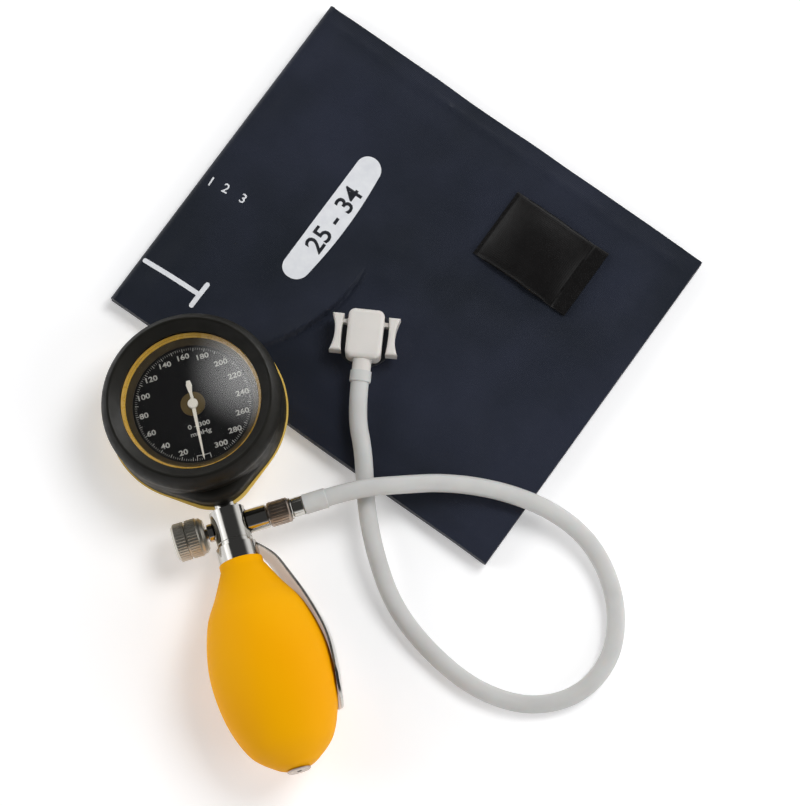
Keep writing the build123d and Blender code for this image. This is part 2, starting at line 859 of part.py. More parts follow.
def sector_gear():
    root = sector_pitch - 1.15 * module
    tip = sector_pitch + 0.75 * module
    rim_low = -sector_swing - sector_margin
    rim_high = sector_margin
    rim_mid = (rim_low + rim_high) / 2
    z_low, z_high = sector_z, sector_z + sector_plate

    def sheet(face):
        return extrude(Pos(0, 0, z_low) * face, sector_plate)

    def arc(radius, first, last):
        return ThreePointArc(polar(radius, first), polar(radius, rim_mid), polar(radius, last))

    fan = make_face(
        [
            Line((0, 0), polar(root, rim_low)), arc(root, rim_low, rim_high),
            Line(polar(root, rim_high), (0, 0)),
        ]
    )
    window_end = root - sector_rim
    window = make_face(
        [
            Line(polar(window_start, rim_low), polar(window_end, rim_low)),
            arc(window_end, rim_low, rim_high),
            Line(polar(window_end, rim_high), polar(window_start, rim_high)),
            Line(polar(window_start, rim_high), polar(window_start, rim_low)),
        ]
    )
    sector = sheet(fan) - sheet(offset(window, -sector_arm))
    sector += disc(sector_hub, z_low, z_high)
    tooth = sheet(gear_tooth(tip, root, 0.28 * module, 0.78 * module - gear_play))
    first_tooth = int(rim_low / sector_tooth_angle)
    last_tooth = int(rim_high / sector_tooth_angle)
    for i in range(first_tooth, last_tooth + 1):
        sector += Rot(0, 0, i * sector_tooth_angle) * tooth

    arbor = disc(arbor_radius, bottom_plate_z, top_plate_z + plate)
    (tx, ty), _ = arm_direction()
    bar = (
        Rot(0, 0, degrees(atan2(ty, tx)))
        * Pos(tail_bar_reach / 2, 0, tail_z)
        * Box(tail_bar_reach, 2 * tail_bar, tail_bar_height)
    )
    keep("sector_gear", hand * Pos(-gear_centres, 0, 0) * (sector + arbor + bar))


def rocker():
    """The cross shaft: one arm rests over the capsule, the other pushes the sector's tail."""
    (tx, ty), (mx, my) = arm_direction()

    def at(along, across, z):
        """A point from the shaft's own frame, counted from the foot of the dial's axis."""
        away = rocker_offset + across
        return tx * along + mx * away, ty * along + my * away, z

    pin_along = tail_pin_reach - gear_centres * tx
    left_end, right_end = pin_along - rocker_radius, rocker_right
    shaft = rod(rocker_radius, at(left_end, 0, rocker_z), at(right_end, 0, rocker_z))
    pin_top = tail_z + tail_pin_over
    pin = rod(tail_pin_radius, at(pin_along, 0, rocker_z), at(pin_along, 0, pin_top))
    length = rocker_offset + rocker_arm_over
    arm = (
        Pos(*at(0, -length / 2, rocker_z))
        * Rot(0, 0, degrees(atan2(my, mx)))
        * Box(length, rocker_arm_width, 2 * rocker_arm)
    )
    keep("rocker_shaft", hand * (shaft + pin + arm))
    return at, left_end, right_end


def movement_plates():
    at, left_end, right_end = rocker_line
    z = bottom_plate_z
    plate_top = z + plate
    sector_x = -gear_centres
    (tx, ty), _ = arm_direction()

    # The lower plate carries the rocker shaft in two ears
    lower = disc(plate_radius, z, plate_top)
    ears = []
    for along in (left_end + ear_inset_left, right_end - ear_inset_right):
        ear = Box(ear_thickness, ear_width, ear_height)
        turned = Rot(0, 0, degrees(atan2(ty, tx))) * ear
        ears.append(Pos(*at(along, 0, plate_top + ear_height / 2)) * turned)
    lower = lower + ears
    through = (z - 1, plate_top + 1)
    lower -= disc(post_radius + post_room, *through)
    lower -= disc(arbor_radius + run_gap, *through, sector_x, 0)
    lower -= rod(
        rocker_radius + run_gap, at(left_end - 1, 0, rocker_z), at(right_end + 1, 0, rocker_z)
    )
    screw_places = [(foot_circle * cos(a), foot_circle * sin(a)) for a in foot_angles]
    for x, y in screw_places:
        lower -= disc(screw_radius + screw_play, *through, x, y)
    keep("movement_lower_plate", hand * lower)

    # Pillars stand between the plates, and the bridge carries the pointer staff
    foot = plate_top + seat_gap
    pillars = []
    for x in (pillar_x_right, pillar_x_left):
        for y in (pillar_y, -pillar_y):
            pillars.append(hand * disc(pillar_radius, foot, top_plate_z - seat_gap, x, y))
    keep("movement_pillars", *pillars)

    left_post = sector_x - bridge_left
    strip_length = bridge_right - left_post + 2 * bridge_overhang
    strip_middle = (left_post + bridge_right) / 2
    strip = Pos(strip_middle, 0, bridge_z + bridge / 2) * Box(strip_length, bridge_width, bridge)
    bridge_middle = bridge_z + bridge / 2
    bearer = strip + [
        disc(bridge_post, foot, bridge_middle, left_post, 0),
        disc(bridge_post, foot, bridge_middle, bridge_right, bridge_right_shift),
    ]
    staff_hole = disc(staff_radius + run_gap, 0, dial_top)
    arbor_hole = disc(arbor_radius + run_gap, 0, dial_top, sector_x, 0)
    keep("movement_bridge", hand * (bearer - staff_hole - arbor_hole))

    upper = disc(plate_radius, top_plate_z, top_plate_z + plate)
    keep("movement_upper_plate", hand * (upper - staff_hole - arbor_hole))

    head_top = plate_top + screw_head_height
    screws = []
    for x, y in screw_places:
        head = disc(screw_head, foot, head_top, x, y)
        shank = disc(screw_radius - screw_play, z - screw_grip, foot, x, y)
        slot = Pos(x, y, head_top) * Box(3 * screw_head, slot_width, 2 * slot_depth)
        screws.append(hand * (head + shank - slot))
    keep("movement_screws", *screws)


def hairspring():
    """A flat spiral of half rings whose centres alternate."""
    step = spring_pitch / 2
    reach = spring_start + spring_turns * spring_pitch + 1
    coil = []
    for i in range(2 * spring_turns):
        radius = spring_start + i * step
        side, shift = (1, 0) if i % 2 == 0 else (-1, -step)
        full = ring(
            radius + spring_band / 2, radius - spring_band / 2,
            spring_z, spring_z + spring_height,
        )
        half = Pos(0, side * reach / 2, spring_z) * Box(2 * reach, reach, 4 * spring_height)
        coil.append(Pos(shift, 0, 0) * (full & half))
    keep("hairspring", hand * (coil[0] + coil[1:]))


def capsule():
    """A corrugated capsule: a fixed cup on its stud and a lid that rises over it like a cap."""
    floor = -back_depth + case_wall
    cup_z = floor + stud_height
    tube_z = cup_z - tube_radius - tube_roof
    stud = disc(stud_radius, floor + seat_gap, cup_z - seat_gap)
    stud -= rod(tube_radius + seat_gap, (0, -stud_radius - 1, tube_z), (0, 0, tube_z))
    stud -= disc(gas_bore, tube_z, cup_z + 1)
    keep("capsule_stud", hand * stud)

    rim = cup_z + cup_height
    cup = disc(capsule_radius, cup_z, rim)
    cup -= disc(capsule_radius - cup_wall, cup_z + capsule_sheet, rim + 1)
    cup -= disc(gas_bore, cup_z - 1, rim)
    keep("capsule_base", hand * cup)

    skirt = cup_z + skirt_lift
    top = cup_z + capsule_height
    inside = capsule_radius + run_gap
    lid = disc(inside + capsule_sheet, skirt, top)
    lid -= disc(inside, skirt - 1, top - capsule_sheet)
    for radius in corrugations:
        lid += Pos(0, 0, top) * Torus(radius, corrugation)
    tip_z = rocker_z - rocker_arm - capsule_gap
    lid += disc(post_radius, top - capsule_sheet, tip_z - post_tip_length)
    lid += disc(post_tip, top, tip_z)
    keep("capsule_lid", hand * lid)

    path = FilletPolyline(
        (0, stem_tip + seat_gap, 0), (0, -tube_drop_start, 0), (0, -tube_drop_end, tube_z),
        (0, -tube_end, tube_z), radius=tube_bend,
    )
    face = Plane(origin=path @ 0, z_dir=path % 0) * Circle(tube_radius)
    keep("pressure_tube", hand * sweep(face, path))


def valve():
    """The chromed barrel with the stem up into the case, the spigot for the bulb and its valve."""
    top = -stem_tip
    spigot_top = mouth - seat_gap
    spigot_low = mouth + bulb_spigot_length
    groove_top = groove_at - groove_width
    groove_floor = valve_radius - groove_depth
    ribs = []
    for i in range(spigot_ribs):
        rib = mouth + spigot_lead + i * rib_pitch
        ribs += [
            (bulb_spigot_radius - rib_depth, rib - rib_pitch + rib_step),
            (bulb_spigot_radius, rib),
        ]
    ribs[0] = (bulb_spigot_radius - rib_depth, spigot_top)
    barrel = along_y(
        [
            (0, top + stem_end), (stem_radius - stem_end, top + stem_end),
            (stem_radius, top + 2 * stem_end), (stem_radius, barrel_top),
            (valve_radius, barrel_top), (valve_radius, groove_top), (groove_floor, groove_top),
            (groove_floor, groove_at), (valve_radius, groove_at), (valve_radius, spigot_top),
            *ribs, (bulb_spigot_radius - spigot_end, spigot_low), (0, spigot_low),
        ]
    )
    seal_at = top + stem_seal_setback
    seal_floor = stem_radius - stem_seal_groove
    barrel -= along_y(
        [
            (seal_floor, seal_at - stem_seal_groove), (stem_radius + 1, seal_at - stem_seal_groove),
            (stem_radius + 1, seal_at + stem_seal_groove), (seal_floor, seal_at + stem_seal_groove),
        ]
    )
    seat_top = spigot_low - check_seat_length
    chamber_top = seat_top - check_disc - check_lift - check_clear
    port_seat = (valve_radius + 1, -knob_axis, 0)
    gland_seat = (-valve_radius - 1, -knob_axis, 0)
    axes_meet = (0, -knob_axis, 0)
    barrel -= rod(stem_bore, (0, stem_tip + 1, 0), (0, -chamber_top, 0))
    barrel -= rod(check_chamber, (0, -chamber_top, 0), (0, -spigot_low - 1, 0))
    port_shank_end = port_shank_in - port_recess
    barrel -= rod(port_shank + seat_gap, (port_shank_end, -knob_axis, 0), port_seat)
    barrel -= rod(adapter_bore, axes_meet, port_seat)
    screw_room = screw_reach - seat_room
    barrel -= rod(screw_shank + run_gap, (-screw_room, -knob_axis, 0), gland_seat)
    barrel -= rod(seat_bore, axes_meet, gland_seat)
    # Flats where the hose port and the gland seat
    chip = valve_radius
    barrel -= Pos(flat_x + chip / 2, -knob_axis, 0) * Box(chip, port_flat, 3 * valve_radius)
    barrel -= Pos(-flat_x - chip / 2, -knob_axis, 0) * Box(chip, gland_flat, 3 * valve_radius)
    keep("valve_body", hand * barrel)

    outside, inside = stem_radius + run_gap - seat_gap, seal_floor + seat_gap
    section = (outside - inside) / 2
    seal = Pos(0, -seal_at, 0) * Rot(90, 0, 0) * Torus(inside + section, section)
    keep("stem_seal", hand * seal)
    screw_end = (0, set_screw_y, -back_depth + set_screw_sink)
    screw = rod(set_screw_radius, (0, set_screw_y, -stem_radius - run_gap), screw_end)
    screw -= Pos(*screw_end) * Box(3 * set_screw_radius, slot_width, 2 * slot_depth)
    keep("stem_set_screw", hand * screw)

    seat_end = -spigot_low + check_recess
    seat = rod(check_chamber - seat_gap, (0, -seat_top, 0), (0, seat_end, 0))
    seat -= rod(check_seat_bore, (0, -seat_top + 1, 0), (0, seat_end - 1, 0))
    keep("outlet_valve_seat", hand * seat)
    disc_low, disc_high = -seat_top + seat_gap, -seat_top + check_disc
    keep("outlet_valve_disc", hand * rod(check_disc_radius, (0, disc_low, 0), (0, disc_high, 0)))


def release_valve():
    """The air release valve: a gland, a screw with a needle tip, and a knurled knob."""
    y = -knob_axis
    gland_in = -flat_x - seat_gap
    gland_out = gland_in - gland_length
    gland = rod(gland_radius, (gland_in, y, 0), (gland_out, y, 0))
    gland = fillet(gland.edges().sort_by(Axis.X)[0], gland_round)
    gland -= rod(screw_stem + run_gap, (0, y, 0), (gland_out - 1, y, 0))
    keep("release_gland", hand * gland)

    travel = screw_pitch * knob_turns
    shank_in = -screw_reach
    shank_out = -flat_x + travel + screw_clear
    knob_in = gland_out - knob_gap
    knob_out = knob_in - knob_length
    screw_out = knob_out + screw_grip_end
    screw = rod(screw_shank, (shank_in, y, 0), (shank_out, y, 0))
    screw += rod(screw_stem, (shank_in, y, 0), (screw_out, y, 0))
    screw -= rod(needle_pin + run_gap, (0, y, 0), (shank_in - needle_pin_hole, y, 0))
    keep("release_screw", hand * screw)

    seat = shank_in + run_gap
    tip = along_x(
        [
            (shank_in - needle_pin_length, 0), (shank_in - needle_pin_length, needle_pin),
            (seat, needle_pin), (seat, needle_root), (seat + needle_flange, needle_root),
            (seat + 2 * needle_flange, needle_cone), (seat + needle_length, needle_point),
            (seat + needle_length, 0),
        ],
        y,
    )
    keep("needle_tip", hand * tip)

    collar = knob_radius - knob_collar_step
    waist = knob_radius - knob_groove
    collar_end = knob_in - knob_collar
    grip_start = collar_end - knob_collar_step
    groove_start = knob_in - knob_groove_at
    groove_end = groove_start - knob_groove_width
    knob = along_x(
        [
            (knob_in, 0), (knob_in, collar - knob_chamfer), (knob_in - knob_chamfer, collar),
            (collar_end, collar), (grip_start, knob_radius),
            (groove_start, knob_radius), (groove_start, waist),
            (groove_end, waist), (groove_end, knob_radius),
            (knob_out + knob_edge, knob_radius), (knob_out, knob_radius - knob_edge),
            (knob_out, 0),
        ],
        y,
    )
    knob -= rod(screw_stem + press_gap, (0, y, 0), (screw_out - press_gap, y, 0))
    knurl_circle = knob_radius + knurl_radius - knurl_depth
    for i in range(knurl_count):
        angle = 2 * pi * i / knurl_count
        cy, cz = y + knurl_circle * cos(angle), knurl_circle * sin(angle)
        knob -= rod(knurl_radius, (grip_start, cy, cz), (knob_out - 1, cy, cz))
    keep("release_knob", hand * knob)


def hose_port():
    """The luer joint between valve and hose: port, turning nut, adapter and hose end."""
    y = -knob_axis
    seat = flat_x + seat_gap
    barrel_end = seat + port_barrel_length
    nipple_end = barrel_end + port_nipple_length
    port = along_x(
        [
            (port_shank_in, 0), (port_shank_in, port_shank), (seat, port_shank),
            (seat, port_barrel), (barrel_end - port_chamfer, port_barrel),
            (barrel_end, port_barrel - port_chamfer), (barrel_end, port_nipple),
            (nipple_end, port_nipple), (nipple_end, 0),
        ],
        y,
    )
    port -= rod(adapter_bore, (0, y, 0), (nipple_end + 1, y, 0))
    keep("hose_port", hand * port)

    nut_start = barrel_end + nut_gap
    nut_end = nut_start + nut_length
    wall_start = nut_end - nut_wall
    nut = along_x(
        [
            (nut_start, 0), (nut_start, nut_radius - nut_chamfer),
            (nut_start + nut_chamfer, nut_radius), (nut_end - nut_chamfer, nut_radius),
            (nut_end, nut_radius - nut_chamfer), (nut_end, 0),
        ],
        y,
    )
    nut -= rod(port_nipple + run_gap, (nut_start - 1, y, 0), (wall_start, y, 0))
    nut -= rod(adapter_radius + run_gap, (nut_start, y, 0), (nut_end + 1, y, 0))
    grip_circle = nut_radius + grip_radius - grip_depth
    for i in range(grip_count):
        angle = 2 * pi * i / grip_count
        cy, cz = y + grip_circle * cos(angle), grip_circle * sin(angle)
        nut -= rod(grip_radius, (nut_start + grip_margin, cy, cz), (nut_end - grip_margin, cy, cz))
    keep("luer_nut", hand * nut)

    head_in = nipple_end + nut_gap
    head_out = wall_start - run_gap
    head = port_nipple - adapter_play
    ring_start = nut_end + ring_gap
    ring_end = ring_start + ring_length
    flange_end = ring_end + adapter_flange_length
    barb_end = flange_end + sleeve_length
    tip = barb_end - seat_gap
    adapter = along_x(
        [
            (head_in, 0), (head_in, head), (head_out, head), (head_out, adapter_radius),
            (ring_start, adapter_radius), (ring_start, ring_radius - ring_chamfer),
            (ring_start + ring_chamfer, ring_radius), (ring_end - ring_chamfer, ring_radius),
            (ring_end, ring_radius - ring_chamfer), (ring_end, adapter_flange - adapter_chamfer),
            (ring_end + adapter_chamfer, adapter_flange),
            (flange_end - adapter_chamfer, adapter_flange),
            (flange_end, adapter_flange - adapter_chamfer), (flange_end, barb_radius),
            (tip - barb_end_length, barb_radius), (tip, barb_radius - barb_end_step), (tip, 0),
        ],
        y,
    )
    adapter -= rod(adapter_bore, (0, y, 0), (barb_end + 1, y, 0))
    keep("hose_adapter", hand * adapter)

    sleeve = rod(sleeve_radius, (flange_end + seat_gap, y, 0), (barb_end, y, 0))
    sleeve = fillet(sleeve.edges().sort_by(Axis.X)[-1], sleeve_round)
    sleeve -= rod(barb_radius + seat_gap, (0, y, 0), (barb_end + 1, y, 0))
    keep("hose_sleeve", hand * sleeve)
    return hand * Pos(barb_end, y, 0)


def bulb_outline(inset):
    """The bulb's side, from its mouth to its end valve, as (radius, distance down the axis)."""
    rest = bulb_length - bulb_belly
    shape = [
        (0.565, 0.25 * bulb_belly), (0.80, 0.455 * bulb_belly), (0.957, 0.735 * bulb_belly),
        (1.0, bulb_belly), (0.92, bulb_belly + 0.39 * rest),
        (0.70, bulb_belly + 0.74 * rest), (0.375, bulb_belly + 0.93 * rest),
    ]
    points = [(bulb_radius * part - inset, mouth + down) for part, down in shape]
    end = (end_valve_body + seat_gap, mouth + bulb_length - inset)
    return [(bulb_neck - inset, mouth + bulb_collar), *points, end]


def bulb():
    def side(inset):
        flat = [(r, -s) for r, s in bulb_outline(inset)]
        return flat, Spline(*flat, tangents=[(0.1, -1), (-1, -0.1)])

    outer, outer_side = side(0)
    inner, inner_side = side(bulb_wall)
    hole = bulb_spigot_radius + seat_gap
    outline = [
        Line((hole, -mouth), (bulb_neck, -mouth)),
        Line((bulb_neck, -mouth), outer[0]),
        outer_side,
        Line(outer[-1], inner[-1]),
        inner_side,
        Line(inner[0], (hole, inner[0][1])),
        Line((hole, inner[0][1]), (hole, -mouth)),
    ]
    keep("bulb", hand * revolve(make_face(outline), Axis.Y))


def end_valve():
    """The inlet valve in the bulb's far end: body, disc and the cage that holds the disc."""
    end = mouth + bulb_length
    face = end + end_valve_flange * 0.55
    rim = end + seat_gap
    room_end = end - end_valve_length
    body = along_y(
        [
            (0, face), (end_valve_radius - end_valve_edge, face),
            (end_valve_radius, face - end_valve_edge), (end_valve_radius, rim),
            (end_valve_body, rim), (end_valve_body, room_end), (0, room_end),
        ]
    )
    room_start = end - end_valve_face
    body -= rod(inlet_bore, (0, -face - 1, 0), (0, -room_start + 1, 0))
    body -= rod(check_chamber, (0, -room_start, 0), (0, -room_end + 1, 0))
    keep("end_valve_body", hand * body)
    disc_low, disc_high = -room_start + seat_gap, -room_start + check_disc
    keep("end_valve_disc", hand * rod(check_disc_radius, (0, disc_low, 0), (0, disc_high, 0)))
    cage_start = -room_start + check_disc + check_lift + check_recess
    cage = rod(check_chamber - seat_gap, (0, cage_start, 0), (0, -room_end - check_recess, 0))
    for angle in (0, 120, 240):
        x, z = polar(cage_circle, angle)
        cage -= rod(cage_bore, (x, cage_start - 1, z), (x, -room_end, z))
    keep("end_valve_cage", hand * cage)


def palm_spoon():
    """A leaf that follows the bulb at a distance, on a clip round the valve's collar."""
    clip_in = valve_radius + seat_gap
    clip_out = clip_in + clip_wall
    clip_top = mouth - clip_length
    clip = along_y(
        [
            (clip_in, clip_top), (clip_out, clip_top),
            (clip_out, mouth - run_gap), (clip_in, mouth - run_gap),
        ]
    )
    clip -= Pos(-valve_radius, -mouth, 0) * Box(valve_radius, 4 * clip_length, clip_slit)

    # The leaf's inner side, as shares of the bulb's radius and of its length from the mouth
    shape = [
        (0.448, -0.025), (0.570, 0.018), (0.709, 0.104), (0.839, 0.198), (0.987, 0.334),
        (1.061, 0.443), (1.057, 0.563), (1.009, 0.672), (0.935, 0.775),
    ]
    near = [(bulb_radius * part, -mouth - bulb_length * down) for part, down in shape]
    near.insert(0, (clip_in + run_gap, -clip_top - clip_wall))
    far = [(r + spoon_sheet, v - spoon_sheet / 6) for r, v in near]
    section = make_face(
        [Spline(*near), Line(near[-1], far[-1]), Spline(*far), Line(far[0], near[0])]
    )
    spread = spoon_high - spoon_low
    leaf = Rot(0, -spoon_low, 0) * revolve(section, Axis.Y, revolution_arc=-spread)

    # Its far end is rounded and its root is narrowed to the clip's width
    middle = radians((spoon_high + spoon_low) / 2)
    half_width = (near[-1][0] + spoon_sheet) * sin(radians(spread / 2))
    widest = mouth + leaf_widest
    root = mouth - leaf_root
    tip = mouth + spoon_length
    shoulder = tip - half_width
    outline = make_face(
        [
            Line((root, -leaf_root), (widest, -2 * half_width)),
            Line((widest, -2 * half_width), (shoulder, -half_width)),
            ThreePointArc((shoulder, -half_width), (tip, 0), (shoulder, half_width)),
            Line((shoulder, half_width), (widest, 2 * half_width)),
            Line((widest, 2 * half_width), (root, leaf_root)),
            Line((root, leaf_root), (root, -leaf_root)),
        ]
    )
    cutter = Plane(origin=(0, 0, 0), x_dir=(0, -1, 0), z_dir=(cos(middle), 0, sin(middle)))
    keep("palm_spoon", hand * (clip + (leaf & extrude(cutter * outline, 2 * bulb_radius))))


def hose(start, finish):
    """The hose's route, chosen by hand, between the sleeve's end and the connector's end."""
    first = (start * Pos(hose_straight, 0, 0)).position
    last = (finish * Pos(0, -hose_straight, 0)).position
    middle = [Vector(*point) for point in hose_route]
    points = [start.position, first, *middle, last, finish.position]
    radii = []
    for before, here, after in zip(points, points[1:], points[2:]):
        turn = (here - before).get_angle(after - here)
        shorter = min((here - before).length, (after - here).length)
        radii.append(0.45 * shorter / tan(radians(turn) / 2))
    path = FilletPolyline(*points, radius=radii)
    face = Plane(origin=path @ 0, z_dir=path % 0) * (Circle(hose_radius) - Circle(hose_bore))
    tube = sweep(face, path)
    section = pi * (hose_radius**2 - hose_bore**2)
    print("hose length", round(path.length, 1))
    print("hose volume by section and length", round(tube.volume / section / path.length, 3))
    print("hose radii", [round(radius, 1) for radius in radii])
    print("hose points", [tuple(round(c, 1) for c in tuple(point)) for point in points])
    keep("hose", tube)


# The hose crosses its own other end, lies on the table in a loop and climbs back to the cuff
hose_straight = 13.0
hose_route = [
    (45.4, -69.1, 18.9),
    (59.6, -57.0, 16.0),
    (77.5, -47.3, 13.0),
    (95.7, -42.0, 10.6),
    (112.8, -41.5, 6.9),
    (127.8, -47.3, 4.0),
    (140.9, -58.6, 3.6),
    (148.9, -74.4, 3.6),
    (147.1, -92.6, 3.6),
    (134.6, -107.1, 3.6),
    (115.2, -113.7, 3.6),
    (93.6, -112.8, 3.6),
    (71.2, -107.0, 5.3),
    (53.1, -94.8, 9.6),
    (38.3, -80.5, 10.6),
    (26.8, -65.6, 12.0),
]

cuff()
gauge_loop()
cuff_port()
connector_hose = quick_connector()
gauge_case()
bumper()
dial_and_lens()
pointer()
pointer_staff()
sector_gear()
rocker_line = rocker()
movement_plates()
hairspring()
capsule()
valve()
release_valve()
hand_hose = hose_port()
bulb()
end_valve()
palm_spoon()
hose(hand_hose, connector_hose)

os.makedirs("parts", exist_ok=True)
for name, solids in nodes.items():
    shape = solids[0] if len(solids) == 1 else Compound(children=solids)
    export_step(shape, f"parts/{name}.step")
print(len(nodes), "nodes")
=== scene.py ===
import json
import math

import bmesh
import bpy
from mathutils import Matrix, Vector, noise


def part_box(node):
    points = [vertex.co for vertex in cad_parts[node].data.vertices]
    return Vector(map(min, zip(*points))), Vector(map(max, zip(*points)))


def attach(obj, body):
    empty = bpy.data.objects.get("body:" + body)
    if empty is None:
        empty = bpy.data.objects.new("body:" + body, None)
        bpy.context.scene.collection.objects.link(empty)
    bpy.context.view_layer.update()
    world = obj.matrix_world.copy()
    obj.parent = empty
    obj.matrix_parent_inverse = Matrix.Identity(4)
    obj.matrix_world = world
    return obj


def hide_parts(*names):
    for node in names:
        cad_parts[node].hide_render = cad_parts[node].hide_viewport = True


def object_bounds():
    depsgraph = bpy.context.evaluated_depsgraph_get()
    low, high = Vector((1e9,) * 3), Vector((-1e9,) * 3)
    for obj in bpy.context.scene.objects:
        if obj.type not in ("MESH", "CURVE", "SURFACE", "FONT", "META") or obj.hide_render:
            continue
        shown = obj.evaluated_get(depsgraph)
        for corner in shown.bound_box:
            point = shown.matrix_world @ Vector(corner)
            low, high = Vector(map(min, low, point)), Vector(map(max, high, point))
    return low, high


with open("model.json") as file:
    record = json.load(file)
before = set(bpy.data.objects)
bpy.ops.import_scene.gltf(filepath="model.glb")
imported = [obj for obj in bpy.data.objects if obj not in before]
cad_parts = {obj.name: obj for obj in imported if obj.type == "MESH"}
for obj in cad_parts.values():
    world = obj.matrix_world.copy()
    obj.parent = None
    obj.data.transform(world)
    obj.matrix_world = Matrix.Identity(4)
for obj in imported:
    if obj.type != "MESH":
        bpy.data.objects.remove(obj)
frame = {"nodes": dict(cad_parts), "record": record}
cad_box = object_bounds()
nodes = frame["nodes"]

# Lengths below are in millimetres unless they are handed to Blender, which takes metres.
MM = 0.001

# The picture's right, and its up as it lies on the table
IMAGE_RIGHT = Vector((0.8121, 0.5835, 0.0))
TABLE_UP = Vector((-0.5835, 0.8121, 0.0))

# Lamps and floor, in metres
LAMP_AIM = Vector((0.0, -0.03, 0.01))  # what the soft boxes face
WINDOW_DISTANCE = 0.8
FLOOR_REACH = 4.0
FLOOR_DROP = 0.0002  # from the CAD's lowest point
FLOOR_GLOW = 0.27  # brings the lit floor to white where it is seen or mirrored

# Where the values of a noise texture mostly lie
NOISE_LOW = 0.3
NOISE_HIGH = 0.7

# The hand unit's own frame, as in the CAD: X to the hose port, Y from the bulb to the gauge and
# Z out of the dial
joints = {joint["name"]: joint for joint in frame["record"]["behaviour"]["joints"]}
dial_way = Vector(joints["pointer_turn"]["axis"])
port_way = -Vector(joints["knob_turn"]["axis"])
HAND = (
    Matrix.Translation(joints["pointer_turn"]["pos_m"])
    @ Matrix((port_way, dial_way.cross(port_way), dial_way)).transposed().to_4x4()
    @ Matrix.Scale(MM, 4)
)
MOUTH = 60.4  # the bulb's mouth, below the dial's axis

# Print on the dial
DIAL_TOP = 14.2
ZERO_ANGLE = -93.65  # where the scale's zero is, in degrees from the hand frame's X
STEP_ANGLE = 22.5  # from one printed number to the next
NUMBER_RING = 19.1
NUMBERS = 15
LINES_A_STEP = 10
SCALE_OUT = 22.2  # outer end of all scale lines
SCALE_LONG = 20.9  # inner end of each fifth line
SCALE_SHORT = 21.4
ZERO_BOX_IN = 20.2
ZERO_BOX_HALF = 7.0  # half of the box's width, in degrees
DIAL_INK = 0.03  # thickness of the print
DIAL_LIFT = 0.04  # how far the print's top stands above the dial

# Folded cuff
HALF_LENGTH = 89.0
HALF_WIDTH = 72.5
PLY = 1.0
FOLD_GAP = 0.8
LAYER = 2 * PLY
PITCH = LAYER + FOLD_GAP
CUFF_TOP = 3 * LAYER + 2 * FOLD_GAP
FOLD_ROUND = LAYER + FOLD_GAP / 2  # outer radius of a fold
TURN = HALF_LENGTH - FOLD_ROUND  # how far from the middle a fold starts
FOLD_STEPS = 12  # in half a turn
FLAT_STEPS = 60  # along the middle and the bottom layer
# Where things lie on it, as (x, y)
PORT = (0.7, -28.5)
LOOP = (36.4, 38.2)
GAUGE = (-33.0, -90.3)

# Relief of the top layer: soft waves as height, X length, Y length, X shift and noise layer
WAVES = ((1.5, 46, 38, 0, 1.7), (0.55, 19, 28, 5, 4.1))
PILLOW = 0.8  # how far the air inside lifts the middle
CREASE = 1.8
CREASE_DIP = 0.55
LOWEST = -0.55
SIDE_WELD = 0.8  # how far the welds are pressed down
END_WELD = 0.6
CELL = 1.5  # size of the pieces that a decal is cut into, and of the fabric's grid
DECAL_THICKNESS = 0.05
FIGURE_THICKNESS = 0.04

# Materials of nodes whose slot's own finish doesn't suit them
OWN_FINISH = {"release_knob": "knob_satin"}


def place_camera():
    """The photograph's camera, as it was fitted."""
    data = bpy.data.cameras.new("camera")
    data.sensor_fit = "HORIZONTAL"
    data.sensor_width = 36.0
    data.lens = 144.0
    data.clip_end = 20.0
    up = Vector((-0.5728, 0.7972, 0.1908))
    turn = Matrix((IMAGE_RIGHT, up, IMAGE_RIGHT.cross(up))).transposed().to_4x4()
    camera = bpy.data.objects.new("camera", data)
    camera.matrix_world = Matrix.Translation((0.1631, -0.2316, 1.2135)) @ turn
    bpy.context.scene.collection.objects.link(camera)
    bpy.context.scene.camera = camera
    bpy.context.scene.view_settings.view_transform = "Standard"


def srgb(red, green, blue):
    """A linear colour from display values of 0 to 255."""

    def linear(value):
        value /= 255
        return value / 12.92 if value <= 0.04045 else ((value + 0.055) / 1.055) ** 2.4

    return tuple(linear(v) for v in (red, green, blue))


def map_range(tree, source, from_low, from_high, to_low, to_high, smooth=False):
    """Carries a value from one range to another."""
    node = tree.nodes.new("ShaderNodeMapRange")
    if smooth:
        node.interpolation_type = "SMOOTHSTEP"
    node.inputs["From Min"].default_value = from_low
    node.inputs["From Max"].default_value = from_high
    node.inputs["To Min"].default_value = to_low
    node.inputs["To Max"].default_value = to_high
    tree.links.new(source, node.inputs["Value"])
    return node.outputs["Result"]


